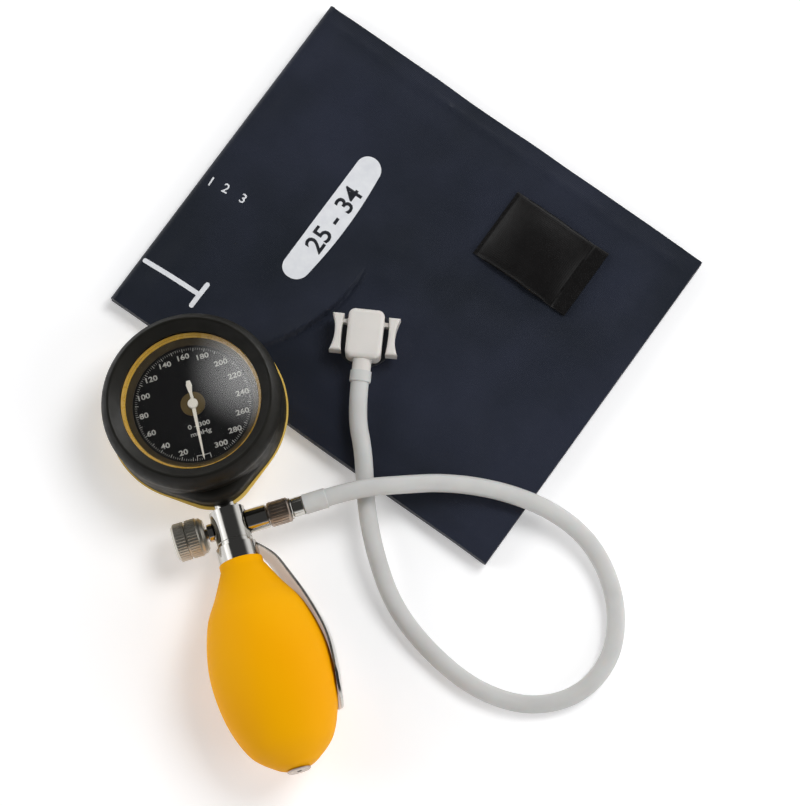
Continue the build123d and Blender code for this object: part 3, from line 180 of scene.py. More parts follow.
class Finish:
    """A Principled material whose colour, roughness and relief vary over the surface."""

    def __init__(self, name, color, roughness, **sockets):
        self.name = name
        self.material = bpy.data.materials.new(name + "_finish")
        self.material.use_nodes = True
        self.tree = self.material.node_tree
        self.shader = self.tree.nodes["Principled BSDF"]
        self.place = self.tree.nodes.new("ShaderNodeTexCoord").outputs["Object"]
        self.shader.inputs["Base Color"].default_value = (*color, 1.0)
        self.shader.inputs["Roughness"].default_value = roughness
        for socket, value in sockets.items():
            self.shader.inputs[socket.replace("_", " ")].default_value = value
        self.normal = None

    def noise(self, scale, detail=3.0):
        node = self.tree.nodes.new("ShaderNodeTexNoise")
        node.inputs["Scale"].default_value = scale
        node.inputs["Detail"].default_value = detail
        node.inputs["Roughness"].default_value = 0.55
        self.tree.links.new(self.place, node.inputs["Vector"])
        return node.outputs["Fac"]

    def wave(self, scale, direction, distort=0.0):
        node = self.tree.nodes.new("ShaderNodeTexWave")
        node.bands_direction = direction
        node.inputs["Scale"].default_value = scale
        node.inputs["Distortion"].default_value = distort
        self.tree.links.new(self.place, node.inputs["Vector"])
        return node.outputs["Fac"]

    def voronoi(self, scale):
        node = self.tree.nodes.new("ShaderNodeTexVoronoi")
        node.inputs["Scale"].default_value = scale
        self.tree.links.new(self.place, node.inputs["Vector"])
        return node.outputs["Distance"]

    def weave(self, scale, distort):
        """Two waves across each other."""
        node = self.tree.nodes.new("ShaderNodeMath")
        node.operation = "ADD"
        for socket, direction in enumerate("XY"):
            self.tree.links.new(self.wave(scale, direction, distort), node.inputs[socket])
        return node.outputs[0]

    def tint(self, source, *stops):
        """Colours along the source, each as (place from 0 to 1, colour)."""
        node = self.tree.nodes.new("ShaderNodeValToRGB")
        ramp = node.color_ramp
        while len(ramp.elements) < len(stops):
            ramp.elements.new(0.5)
        for element, (position, color) in zip(ramp.elements, stops):
            element.position = position
            element.color = (*color, 1.0)
        self.tree.links.new(source, node.inputs["Fac"])
        self.tree.links.new(node.outputs["Color"], self.shader.inputs["Base Color"])
        return self

    def rough(self, source, low, high):
        """Roughness that follows the source from a low to a high value."""
        span = map_range(self.tree, source, NOISE_LOW, NOISE_HIGH, low, high)
        self.tree.links.new(span, self.shader.inputs["Roughness"])
        return self

    def bump(self, source, height, strength=1.0):
        """Relief of a height in millimetres; calls add to each other."""
        node = self.tree.nodes.new("ShaderNodeBump")
        node.inputs["Strength"].default_value = strength
        node.inputs["Distance"].default_value = height * MM
        self.tree.links.new(source, node.inputs["Height"])
        if self.normal is not None:
            self.tree.links.new(self.normal, node.inputs["Normal"])
        self.normal = node.outputs["Normal"]
        self.tree.links.new(self.normal, self.shader.inputs["Normal"])
        return self


def make_finishes():
    """One finish for each slot of the record, and for each print."""
    finishes = {}

    def add(finish):
        finishes[finish.name] = finish.material
        return finish

    paint = add(Finish("case_paint", srgb(248, 208, 104), 0.32, Coat_Weight=0.4))
    paint.tint(paint.noise(90), (0.3, srgb(242, 200, 92)), (0.7, srgb(252, 216, 116)))
    paint.rough(paint.noise(350), 0.26, 0.42).bump(paint.noise(900), 0.02)

    rubber = add(Finish("black_rubber", srgb(19, 18, 15), 0.5, Specular_IOR_Level=0.22))
    rubber.tint(rubber.noise(120), (0.3, srgb(16, 15, 12)), (0.7, srgb(22, 21, 17)))
    rubber.rough(rubber.noise(260), 0.4, 0.58).bump(rubber.noise(2600, 2.0), 0.03)

    dial = add(Finish("dial", srgb(9, 9, 10), 0.5, Specular_IOR_Level=0.15))
    dial.rough(dial.noise(500), 0.42, 0.6).bump(dial.noise(3000), 0.01)

    # The spacer ring is dark of its own; the brown in its colour is a painted reflection of the
    # gold bezel in its sloped wall
    ring = add(Finish("dial_ring", srgb(62, 52, 34), 0.42, Metallic=0.3))
    ring.tint(ring.noise(200), (0.3, srgb(54, 45, 29)), (0.7, srgb(70, 60, 40)))
    ring.rough(ring.noise(600), 0.34, 0.5)

    bezel = add(Finish("bezel", srgb(206, 160, 50), 0.28, Coat_Weight=0.3))
    bezel.tint(bezel.noise(70), (0.3, srgb(190, 146, 42)), (0.7, srgb(208, 166, 62)))
    bezel.rough(bezel.noise(400), 0.22, 0.36)

    seal = add(Finish("seal_rubber", srgb(22, 22, 22), 0.6))
    seal.rough(seal.noise(700), 0.5, 0.7).bump(seal.noise(3000), 0.02)

    pointer = add(Finish("pointer", srgb(226, 221, 208), 0.45))
    pointer.rough(pointer.noise(900), 0.38, 0.52)

    hub = add(Finish("hub", srgb(98, 82, 48), 0.35, Metallic=0.6))
    hub.rough(hub.noise(1200), 0.28, 0.45)

    for name, color, roughness in (
        ("steel", (150, 150, 152), 0.3),
        ("bronze", (168, 122, 74), 0.35),
        ("brass", (196, 160, 92), 0.3),
    ):
        metal = add(Finish(name, srgb(*color), roughness, Metallic=1.0))
        metal.rough(metal.noise(800), roughness - 0.06, roughness + 0.1)

    chrome = add(Finish("chrome", srgb(205, 203, 198), 0.1, Metallic=1.0))
    chrome.rough(chrome.noise(300), 0.06, 0.16).bump(chrome.noise(500), 0.01)

    knob = add(Finish("knob_satin", srgb(206, 202, 191), 0.4, Metallic=1.0))
    knob.tint(knob.noise(150), (0.3, srgb(199, 195, 183)), (0.7, srgb(213, 209, 199)))
    knob.rough(knob.noise(300), 0.38, 0.48)

    satin = add(Finish("satin_metal", srgb(182, 168, 156), 0.38, Metallic=1.0))
    satin.tint(satin.noise(300), (0.3, srgb(170, 156, 143)), (0.7, srgb(194, 180, 168)))
    satin.rough(satin.noise(900), 0.28, 0.44)

    bulb = add(Finish("bulb_rubber", srgb(249, 172, 0), 0.55, Specular_IOR_Level=0.1))
    bulb.tint(bulb.noise(22, 1.0), (0.3, srgb(247, 168, 0)), (0.7, srgb(251, 177, 0)))
    bulb.rough(bulb.noise(200), 0.5, 0.62).bump(bulb.noise(1800, 2.0), 0.015)

    hose = add(Finish(
        "hose", srgb(205, 205, 203), 0.38, Subsurface_Weight=0.1, Subsurface_Scale=0.003,
    ))
    hose.tint(hose.noise(60), (0.3, srgb(200, 200, 198)), (0.7, srgb(210, 210, 208)))
    hose.rough(hose.noise(300), 0.32, 0.46).bump(hose.noise(1500), 0.02)

    plastic = add(Finish(
        "connector", srgb(222, 218, 213), 0.4, Subsurface_Weight=0.05, Subsurface_Scale=0.002,
    ))
    plastic.tint(plastic.noise(80), (0.3, srgb(217, 213, 208)), (0.7, srgb(226, 222, 217)))
    plastic.rough(plastic.noise(500), 0.34, 0.5).bump(plastic.noise(2500), 0.015)

    port = add(Finish("port", srgb(38, 40, 46), 0.45))
    port.rough(port.noise(500), 0.38, 0.55).bump(port.noise(2500), 0.02)

    for name, low, high in (
        ("cuff_fabric", (31, 35, 43), (41, 45, 58)), ("cuff_lining", (24, 27, 33), (32, 35, 44)),
    ):
        cloth = add(Finish(name, srgb(*high), 0.5, Specular_IOR_Level=0.3))
        cloth.tint(cloth.noise(16, 3.0), (0.35, srgb(*low)), (0.65, srgb(*high)))
        cloth.rough(cloth.noise(60, 4.0), 0.42, 0.56)
        cloth.bump(cloth.weave(520, 0.6), 0.03)
        cloth.bump(cloth.noise(130, 4.0), 0.3, 0.6)

    hooks = add(Finish("hook", srgb(26, 26, 30), 0.7))
    hooks.bump(hooks.voronoi(900), 0.3)
    loops = add(Finish("loop", srgb(28, 28, 32), 0.85, Sheen_Weight=0.2))
    loops.bump(loops.noise(1500, 5.0), 0.3)

    webbing = add(Finish("webbing", srgb(18, 17, 18), 0.4, Specular_IOR_Level=0.4))
    webbing.tint(webbing.noise(60), (0.3, srgb(14, 13, 13)), (0.7, srgb(22, 21, 21)))
    webbing.rough(webbing.noise(400), 0.36, 0.48)
    webbing.bump(webbing.weave(420, 0.4), 0.025)

    thread = add(Finish("thread", srgb(18, 18, 20), 0.6))
    thread.bump(thread.wave(1500, "DIAGONAL"), 0.05)

    white = add(Finish("print_white", srgb(230, 232, 236), 0.5, Specular_IOR_Level=0.3))
    white.tint(white.noise(300, 5.0), (0.3, srgb(225, 227, 232)), (0.7, srgb(235, 237, 240)))
    white.bump(white.noise(1800), 0.02)

    dark = add(Finish("print_dark", srgb(34, 36, 42), 0.5))
    dark.rough(dark.noise(800), 0.42, 0.6)

    figures = add(Finish("figures", srgb(178, 178, 172), 0.5))
    figures.tint(figures.noise(700), (0.3, srgb(168, 168, 162)), (0.7, srgb(188, 188, 182)))

    finishes["lens"] = lens_glass()
    return finishes


def lens_glass():
    """Clear glass that lets the lamps through to the dial."""
    glass = Finish("lens", (1.0, 1.0, 1.0), 0.03, IOR=1.46, Transmission_Weight=1.0)
    glass.rough(glass.noise(40), 0.0, 0.03)
    tree = glass.tree
    clear = tree.nodes.new("ShaderNodeBsdfTransparent")
    path = tree.nodes.new("ShaderNodeLightPath")
    mix = tree.nodes.new("ShaderNodeMixShader")
    tree.links.new(path.outputs["Is Shadow Ray"], mix.inputs["Fac"])
    tree.links.new(glass.shader.outputs["BSDF"], mix.inputs[1])
    tree.links.new(clear.outputs["BSDF"], mix.inputs[2])
    tree.links.new(mix.outputs["Shader"], tree.nodes["Material Output"].inputs["Surface"])
    return glass.material


def lay_floor():
    """A white floor that keeps the shadows."""
    mesh = bpy.data.meshes.new("floor")
    low = cad_box[0].z - FLOOR_DROP
    signs = ((-1, -1), (1, -1), (1, 1), (-1, 1))
    corners = [(x * FLOOR_REACH, y * FLOOR_REACH, low) for x, y in signs]
    mesh.from_pydata(corners, [], [(0, 1, 2, 3)])
    floor = bpy.data.objects.new("floor", mesh)
    bpy.context.scene.collection.objects.link(floor)
    material = bpy.data.materials.new("floor")
    material.use_nodes = True
    tree = material.node_tree
    shader = tree.nodes["Principled BSDF"]
    shader.inputs["Base Color"].default_value = (0.94, 0.94, 0.95, 1.0)
    shader.inputs["Roughness"].default_value = 0.9
    shader.inputs["Specular IOR Level"].default_value = 0.0
    path = tree.nodes.new("ShaderNodeLightPath")
    seen = path.outputs["Is Camera Ray"]
    for ray in ("Is Glossy Ray", "Is Transmission Ray"):
        larger = tree.nodes.new("ShaderNodeMath")
        larger.operation = "MAXIMUM"
        tree.links.new(seen, larger.inputs[0])
        tree.links.new(path.outputs[ray], larger.inputs[1])
        seen = larger.outputs[0]
    lift = tree.nodes.new("ShaderNodeMath")
    lift.operation = "MULTIPLY"
    lift.inputs[1].default_value = FLOOR_GLOW
    tree.links.new(seen, lift.inputs[0])
    shader.inputs["Emission Color"].default_value = (1.0, 1.0, 1.0, 1.0)
    tree.links.new(lift.outputs[0], shader.inputs["Emission Strength"])
    mesh.materials.append(material)


def hang(name, data, way, target, distance):
    """A lamp that faces the target from a way and a distance."""
    light = bpy.data.objects.new(name, data)
    way = Vector(way).normalized()
    light.location = target + way * distance
    light.rotation_euler = way.to_track_quat("Z", "Y").to_euler()
    bpy.context.scene.collection.objects.link(light)
    return light


def lamp(name, way, distance, size, power):
    """A soft box that no surface mirrors: the world's soft bright parts stand in for it there."""
    data = bpy.data.lights.new(name, "AREA")
    data.shape = "RECTANGLE"
    data.size, data.size_y = size
    data.energy = power
    light = hang(name, data, way, LAMP_AIM, distance)
    light.visible_glossy = False
    light.visible_transmission = False


def glow(tree, place, direction, inner, outer, strength):
    """A soft round patch of the sky, full within one angle and gone beyond another."""
    along = tree.nodes.new("ShaderNodeVectorMath")
    along.operation = "DOT_PRODUCT"
    along.inputs[1].default_value = Vector(direction).normalized()
    tree.links.new(place, along.inputs[0])
    dark, full = (math.cos(math.radians(angle)) for angle in (outer, inner))
    return map_range(tree, along.outputs["Value"], dark, full, 0.0, strength, smooth=True)


def light_studio():
    """Three soft boxes, and a sky that is bright near the horizon and dark overhead."""
    right, up, sky = IMAGE_RIGHT, TABLE_UP, Vector((0.0, 0.0, 1.0))
    lamp("key", 0.5 * right + 0.35 * up + sky, 1.6, (0.7, 0.7), 12.5)
    lamp("side", -0.95 * right + 0.1 * up + 0.75 * sky, 1.5, (0.9, 1.1), 4.0)
    lamp("fill", 0.9 * right - 0.3 * up + 0.7 * sky, 1.8, (0.9, 0.9), 6.0)
    world = bpy.data.worlds.new("studio")
    world.use_nodes = True
    tree = world.node_tree
    background = tree.nodes["Background"]
    background.inputs["Strength"].default_value = 1.0
    place = tree.nodes.new("ShaderNodeTexCoord").outputs["Generated"]
    parts = tree.nodes.new("ShaderNodeSeparateXYZ")
    tree.links.new(place, parts.inputs["Vector"])
    level = map_range(tree, parts.outputs["Z"], 0.3, 0.68, 0.95, 0.05, smooth=True)
    total = tree.nodes.new("ShaderNodeMath")
    total.operation = "ADD"
    tree.links.new(level, total.inputs[0])
    tree.links.new(glow(tree, place, (-0.74, -0.4, 0.54), 8, 18, 1.2), total.inputs[1])
    tree.links.new(total.outputs[0], background.inputs["Color"])
    bpy.context.scene.world = world


def linked_lamp(name, way, receiver, strength, reach, core):
    """A soft round window that lights a single piece.

    Its strength is full up to a core, given as a share of its width, and fades to its rim.
    """
    data = bpy.data.lights.new(name, "AREA")
    data.shape = "DISK"
    data.size = 2 * reach
    data.energy = strength * math.pi * (math.pi * reach * reach)
    data.use_nodes = True
    tree = data.node_tree
    spot = tree.nodes.new("ShaderNodeNewGeometry").outputs["Parametric"]
    away = tree.nodes.new("ShaderNodeVectorMath")
    away.operation = "DISTANCE"
    away.inputs[1].default_value = (0.5, 0.5, 0.0)
    tree.links.new(spot, away.inputs[0])
    fade = map_range(tree, away.outputs["Value"], core, 0.5, 1.0, 0.0, smooth=True)
    tree.links.new(fade, tree.nodes["Emission"].inputs["Strength"])
    low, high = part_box(receiver)
    light = hang(name, data, way, (Vector(low) + Vector(high)) / 2, WINDOW_DISTANCE)
    light.visible_camera = False
    only = bpy.data.collections.new(receiver + "_only")
    only.objects.link(nodes[receiver])
    light.light_linking.receiver_collection = only


def piece(name, mesh, material, body, replaces=()):
    """A visible object in the row frame that rides on a body."""
    item = bpy.data.objects.new(name, mesh)
    bpy.context.scene.collection.objects.link(item)
    if not mesh.materials:
        mesh.materials.append(material)
    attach(item, body)
    if replaces:
        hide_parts(*replaces)
    return item


def smooth_mesh(mesh, angle=40.0):
    """Smooth shading that keeps edges sharper than the angle."""
    work = bmesh.new()
    work.from_mesh(mesh)
    limit = math.radians(angle)
    for face in work.faces:
        face.smooth = True
    for edge in work.edges:
        edge.smooth = len(edge.link_faces) == 2 and edge.calc_face_angle(0.0) < limit
    work.to_mesh(mesh)
    work.free()


def grid_mesh(name, top, bottom):
    """A closed sheet between two grids of points of the same size."""
    rows, columns = len(top), len(top[0])
    points = [p for row in top for p in row] + [p for row in bottom for p in row]
    shift = rows * columns

    def at(i, j):
        return i * columns + j

    faces = []
    for i in range(rows - 1):
        for j in range(columns - 1):
            a, b, c, d = at(i, j), at(i + 1, j), at(i + 1, j + 1), at(i, j + 1)
            faces.append((a, b, c, d))
            faces.append((shift + d, shift + c, shift + b, shift + a))
    for i in range(rows - 1):
        for j, flip in ((0, False), (columns - 1, True)):
            side = (at(i + 1, j), at(i, j), shift + at(i, j), shift + at(i + 1, j))
            faces.append(side[::-1] if flip else side)
    for j in range(columns - 1):
        for i, flip in ((0, False), (rows - 1, True)):
            side = (at(i, j), at(i, j + 1), shift + at(i, j + 1), shift + at(i, j))
            faces.append(side[::-1] if flip else side)
    mesh = bpy.data.meshes.new(name)
    mesh.from_pydata([Vector(p) * MM for p in points], [], faces)
    mesh.update()
    return mesh


def ease(value):
    """0 up to 0, 1 from 1, and a smooth step between them."""
    value = min(max(value, 0.0), 1.0)
    return value * value * (3 - 2 * value)


def near(x, y, spot, inner, outer):
    """1 within a distance of a spot, and 0 beyond another."""
    return 1 - ease((math.hypot(x - spot[0], y - spot[1]) - inner) / (outer - inner))


def crease_x(y):
    """X of the crease that runs from the gauge towards the middle of the cuff."""
    t = (y + 13.2) / 39.6
    return -15.7 - 0.65 * t - 13.75 * t * t


def crease(x, y):
    """A soft rise up to the crease, then a drop and a shallow valley."""
    if not -62 < y < 0:
        return 0.0
    along = ease((y + 62) / 10) * ease(-(y + 2) / 14)
    past = x - crease_x(y)
    rise = math.exp(past / 6.0) if past < 0 else max(0.0, 1 - past / 0.9)
    dip = math.exp(-((past - 1.3) / 0.9) ** 2)
    return along * (CREASE * rise - CREASE_DIP * dip)


def puckers(x, y):
    """Small folds beside the welds."""
    drift = 0.9 * noise.noise(Vector((x / 23, y / 23, 5.7)))
    pucker = max(0.5 + noise.noise(Vector((x / 4.5, y / 4.5, 2.2))), 0.0)
    return sum(
        rise * pucker * math.exp(-((gap - place - drift) / 0.9) ** 2)
        for gap, place, rise in (
            (HALF_WIDTH - y, 7.0, 0.8), (HALF_LENGTH - x, 9.5, 0.35), (HALF_WIDTH + y, 6.5, 0.35),
        )
        if gap < 16
    )


def relief(x, y):
    """How far the top layer stands above its flat place."""
    soft = sum(
        height * noise.noise(Vector((x / long + shift, y / wide, layer)))
        for height, long, wide, shift, layer in WAVES
    )
    soft += 0.6 * noise.noise(Vector(((x + 0.8 * y) / 20, (y - 0.6 * x) / 75, 8.3)))
    pillow = PILLOW * ease((HALF_WIDTH - abs(y) - 7) / 12) * ease((HALF_LENGTH - x - 10) / 12)
    # The cloth is held flat at the port, under the gauge and, less so, at the loop
    calm = 1 - max(near(x, y, PORT, 13, 26), near(x, y, GAUGE, 34, 52))
    calm = min(calm, 1 - 0.8 * near(x, y, LOOP, 24, 40))
    height = (1.05 * soft + pillow) * calm + crease(x, y) + puckers(x, y)
    return max(height, LOWEST) * ease((x + TURN) / 12)


def pressed(x, y):
    """How far the weld at an edge is pressed down."""
    side = SIDE_WELD * (1 - ease((HALF_WIDTH - abs(y)) / 7))
    end = END_WELD * (1 - ease((HALF_LENGTH - x) / 9))
    return max(side, end)


def cuff_surface(x, y):
    """Height of the cuff's top, which falls away where its fold starts."""
    over = min(max(-TURN - x, 0.0), FOLD_ROUND)
    fallen = FOLD_ROUND - math.sqrt(FOLD_ROUND ** 2 - over * over)
    return CUFF_TOP + relief(x, y) - pressed(x, y) - fallen


def fold_path(offset):
    """The folded sheet seen from its side, as points (x, z), ways out of it and layers."""
    top = []
    x = HALF_LENGTH
    while x > -TURN:
        top.append(x)
        edge = x > HALF_LENGTH - 1
        # Finer at the welded end and across the crease
        x -= 0.5 if edge or -32 < x < -10 else CELL
    path = [((x, 2 * PITCH + offset), (0, 1), "top") for x in [*top, -TURN]]
    radius = FOLD_GAP / 2 + offset
    for i in range(1, FOLD_STEPS):
        a = math.radians(90 + 180 * i / FOLD_STEPS)
        way = (math.cos(a), math.sin(a))
        spot = (-TURN + radius * way[0], 2 * PITCH - FOLD_GAP / 2 + radius * way[1])
        path.append((spot, way, "fold"))
    for i in range(FLAT_STEPS + 1):
        spot = (-TURN + 2 * TURN * i / FLAT_STEPS, PITCH + LAYER - offset)
        path.append((spot, (0, -1), "middle"))
    radius = FOLD_GAP / 2 + LAYER - offset
    for i in range(1, FOLD_STEPS):
        a = math.radians(90 - 180 * i / FOLD_STEPS)
        way = (math.cos(a), math.sin(a))
        spot = (TURN + radius * way[0], PITCH - FOLD_GAP / 2 + radius * way[1])
        path.append((spot, (-way[0], -way[1]), "fold"))
    for i in range(FLAT_STEPS + 1):
        spot = (TURN - (TURN + HALF_LENGTH) * i / FLAT_STEPS, offset)
        path.append((spot, (0, 1), "bottom"))
    return path


def fabric_face(offset, weld):
    """One face of a fabric as rows of points; the weld thins it along the cuff's edges."""
    rows = []
    edge = [HALF_WIDTH - inset for inset in (0.0, 0.3, 1.0)]
    inner = HALF_WIDTH - 2.0
    count = round(2 * inner / CELL) + 1
    steps = [-y for y in edge] + [-inner + CELL * i for i in range(count)] + edge[::-1]
    for (x, z), way, layer in fold_path(offset):
        row = []
        for y in steps:
            wander = 0.35 * noise.noise(Vector((x / 30, z / 8, 3.3 if y > 0 else 6.6)))
            side = y + wander * ease((abs(y) - 50) / 22)
            lift = 0.0
            if layer == "top":
                lift = relief(x, y) - weld * pressed(x, y)
            row.append((x + way[0] * lift, side, z + way[1] * lift))
        rows.append(row)
    return rows


def make_cuff(finishes):
    """The two welded fabrics, folded in three."""
    for name, low, high, weld, node, slot in (
        ("cuff_lining", 0.02, PLY - 0.01, 0.0, "cuff_inner_fabric", "cuff_lining"),
        ("cuff_shell", PLY + 0.01, LAYER, 1.0, "cuff_outer_fabric", "cuff_fabric"),
    ):
        bottom, top = fabric_face(low, 0.0), fabric_face(high, weld)
        mesh = grid_mesh(name, top, bottom)
        smooth_mesh(mesh, 50)
        item = piece(name, mesh, finishes[slot], "base", [node])


def make_patches(finishes):
    """The hook and the loop tape between the middle and the bottom layer."""
    long_steps, wide_steps = 44, 24
    for name, node, slot in (
        ("loop_tape", "loop_patch", "loop"), ("hook_tape", "hook_patch", "hook"),
    ):
        low, high = (Vector(corner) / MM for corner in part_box(node))
        rows_top, rows_bottom = [], []
        for i in range(long_steps + 1):
            x = low.x + (high.x - low.x) * i / long_steps
            top, bottom = [], []
            for j in range(wide_steps + 1):
                y = low.y + (high.y - low.y) * j / wide_steps
                edge = min(x - low.x, high.x - x, y - low.y, high.y - y)
                thin = 0.1 * (1 - ease(edge / 2))
                nap = 0.04 * noise.noise(Vector((x / 3, y / 3, 1.0)))
                top.append((x, y, high.z - thin - abs(nap)))
                bottom.append((x, y, low.z + thin))
            rows_top.append(top)
            rows_bottom.append(bottom)
        mesh = grid_mesh(name, rows_top, rows_bottom)
        smooth_mesh(mesh)
        tape = piece(name, mesh, finishes[slot], "base", [node])


def conform(mesh, lift):
    """Cuts a flat decal into small faces and lays it on the cuff, a little above it."""
    work = bmesh.new()
    work.from_mesh(mesh)
    for axis in (0, 1):
        low = min(v.co[axis] for v in work.verts)
        high = max(v.co[axis] for v in work.verts)
        cut = low + CELL
        while cut < high:
            point, normal = [0, 0, 0], [0, 0, 0]
            point[axis], normal[axis] = cut, 1
            everything = work.verts[:] + work.edges[:] + work.faces[:]
            bmesh.ops.bisect_plane(work, geom=everything, plane_co=point, plane_no=normal)
            cut += CELL
    for vert in work.verts:
        vert.co.z = cuff_surface(vert.co.x, vert.co.y) + lift
    bmesh.ops.recalc_face_normals(work, faces=work.faces)
    if sum(face.normal.z for face in work.faces) < 0:
        bmesh.ops.reverse_faces(work, faces=work.faces)
    bmesh.ops.scale(work, vec=(MM, MM, MM), verts=work.verts)
    work.to_mesh(mesh)
    work.free()


def decal(name, outlines, material, lift):
    """Flat shapes printed on the cuff, each an outline of (x, y)."""
    work = bmesh.new()
    for outline in outlines:
        verts = [work.verts.new((x, y, 0)) for x, y in outline]
        work.faces.new(verts)
    mesh = bpy.data.meshes.new(name)
    work.to_mesh(mesh)
    work.free()
    conform(mesh, lift)
    printed(name, mesh, material, DECAL_THICKNESS)


def printed(name, mesh, material, thickness):
    """A flat print that keeps its top and gets its thickness below it."""
    item = piece(name, mesh, material, "base")
    thick = item.modifiers.new("thickness", "SOLIDIFY")
    thick.thickness = thickness * MM
    thick.offset = -1.0


def capsule_outline(start, end, radius, steps=14):
    """Outline of a bar with round ends, with points along its sides too."""
    a = math.atan2(end[1] - start[1], end[0] - start[0])
    points = []
    for centre, other, base in ((end, start, a - math.pi / 2), (start, end, a + math.pi / 2)):
        for i in range(steps + 1):
            angle = base + math.pi * i / steps
            out = (radius * math.cos(angle), radius * math.sin(angle))
            points.append((centre[0] + out[0], centre[1] + out[1]))
        x, y = points[-1]
        for i in range(1, steps):
            t = i / steps
            points.append((x + t * (other[0] - centre[0]), y + t * (other[1] - centre[1])))
    return points


def lettering(entries, squash=1.0):
    """A mesh of flat figures, each centred on its place.

    An entry is (text, x, y, size, angle in degrees, boldness).
    """
    work = bmesh.new()
    for text, x, y, size, angle, bold in entries:
        data = bpy.data.curves.new("figure", "FONT")
        data.body = text
        data.size = size
        data.offset = bold
        data.resolution_u = 3
        item = bpy.data.objects.new("figure", data)
        bpy.context.scene.collection.objects.link(item)
        graph = bpy.context.evaluated_depsgraph_get()
        flat = bpy.data.meshes.new_from_object(item.evaluated_get(graph))
        low = [min(v.co[k] for v in flat.vertices) for k in (0, 1)]
        high = [max(v.co[k] for v in flat.vertices) for k in (0, 1)]
        middle = Vector((-(low[0] + high[0]) / 2, -(low[1] + high[1]) / 2, 0))
        turn = Matrix.Rotation(math.radians(angle), 4, "Z") @ Matrix.Diagonal((1, squash, 1, 1))
        flat.transform(Matrix.Translation((x, y, 0)) @ turn @ Matrix.Translation(middle))
        work.from_mesh(flat)
        bpy.data.objects.remove(item)
        bpy.data.curves.remove(data)
        bpy.data.meshes.remove(flat)
    mesh = bpy.data.meshes.new("figures")
    work.to_mesh(mesh)
    work.free()
    return mesh


def make_prints(finishes):
    """A white size lozenge with a plain range, a range bar and plain digits."""
    middle = -37.6
    lozenge = []
    for x, y in capsule_outline((middle, -21.3), (middle, 26.9), 4.8, 20):
        # One long side bulges, as in the photograph
        bulge = 2.6 * math.cos(math.pi * (y - 2.0) / 66) if x > middle else 0.0
        lozenge.append((x + bulge - 0.6, y))
    decal("size_lozenge", [lozenge], finishes["print_white"], 0.06)
    sizes = lettering([("25 - 34", -36.9, 2.6, 10.4, 90, 0.16)])
    conform(sizes, 0.14)
    printed("size_numbers", sizes, finishes["print_dark"], FIGURE_THICKNESS)
    bar = [
        capsule_outline((-86.6, -53.2), (-61.4, -52.0), 0.95),
        capsule_outline((-61.2, -47.0), (-61.4, -57.1), 0.95),
    ]
    decal("range_bar", bar, finishes["print_white"], 0.09)
    places = [(-84.6, -12.8), (-78.2, -11.7), (-70.3, -11.2)]
    ruler = lettering([(str(i + 1), x, y, 5.4, 4, 0.06) for i, (x, y) in enumerate(places)])
    conform(ruler, 0.06)
    printed("index_numbers", ruler, finishes["print_white"], FIGURE_THICKNESS)


def make_loop(finishes):
    """Webbing sewn down at both ends, standing as a flat tunnel."""
    span, foot, rise, thick, depth = 31.0, 6.0, 5.2, 1.2, 30.0
    lying = 1.5  # how much of the left foot lies flat
    base = CUFF_TOP + 0.02
    top, bottom = [], []
    long_steps, wide_steps = 72, 30
    for i in range(long_steps + 1):
        x = -span / 2 - foot + (span + 2 * foot) * i / long_steps
        share = (x + span / 2 + foot - lying) / (span + foot - lying)
        up = (4 * share * (1 - share)) ** 0.75 if 0 < share < 1 else 0.0
        row_top, row_bottom = [], []
        for j in range(wide_steps + 1):
            t = 2 * j / wide_steps - 1
            crown = 1 - 0.62 * t * t + 0.08 * noise.noise(Vector((x / 12, t, 3.0)))
            z = base + rise * up * crown
            hem = 0.22 * math.exp(-((abs(t) - 0.93) / 0.06) ** 2)
            hem += ease((x - span / 2 + 0.4) / 0.6)  # the turned-in end at the right
            round_off = 0.35 * ease((abs(t) - 0.95) / 0.05)
            y = t * depth / 2 + 0.4 * noise.noise(Vector((x / 9, 0.0, 7.0)))
            row_top.append((LOOP[0] + x, LOOP[1] + y, z + thick + hem - round_off))
            row_bottom.append((LOOP[0] + x, LOOP[1] + y, z + round_off * 0.3))
        top.append(row_top)
        bottom.append(row_bottom)
    mesh = grid_mesh("gauge_strap", top, bottom)
    smooth_mesh(mesh, 55)
    strap = piece("gauge_strap", mesh, finishes["webbing"], "base", ["gauge_loop"])

    stitches = bmesh.new()
    for side in (-1, 1):
        x = LOOP[0] + side * (span / 2 + foot / 2)
        # Two bar tacks of slanting stitches, then a plain row outside them
        z = base + thick + 0.12
        for low, high in ((-14.0, -7.0), (7.0, 14.0)):
            count = 13
            for k in range(count):
                y = LOOP[1] + low + (high - low) * k / (count - 1)
                lean = 0.25 if k % 2 else -0.25
                stitch(stitches, (x - 1.0, y - lean, z), (x + 1.0, y + lean, z), 0.28)
        row = x + 2.4 * side
        z = base + thick + 0.05
        for k in range(11):
            y = LOOP[1] - 13.0 + 2.6 * k
            stitch(stitches, (row, y - 0.8, z), (row, y + 0.8, z), 0.16)
    mesh = bpy.data.meshes.new("strap_stitches")
    stitches.to_mesh(mesh)
    stitches.free()
    smooth_mesh(mesh, 60)
    piece("strap_stitches", mesh, finishes["thread"], "base", ["loop_bar_tacks"])


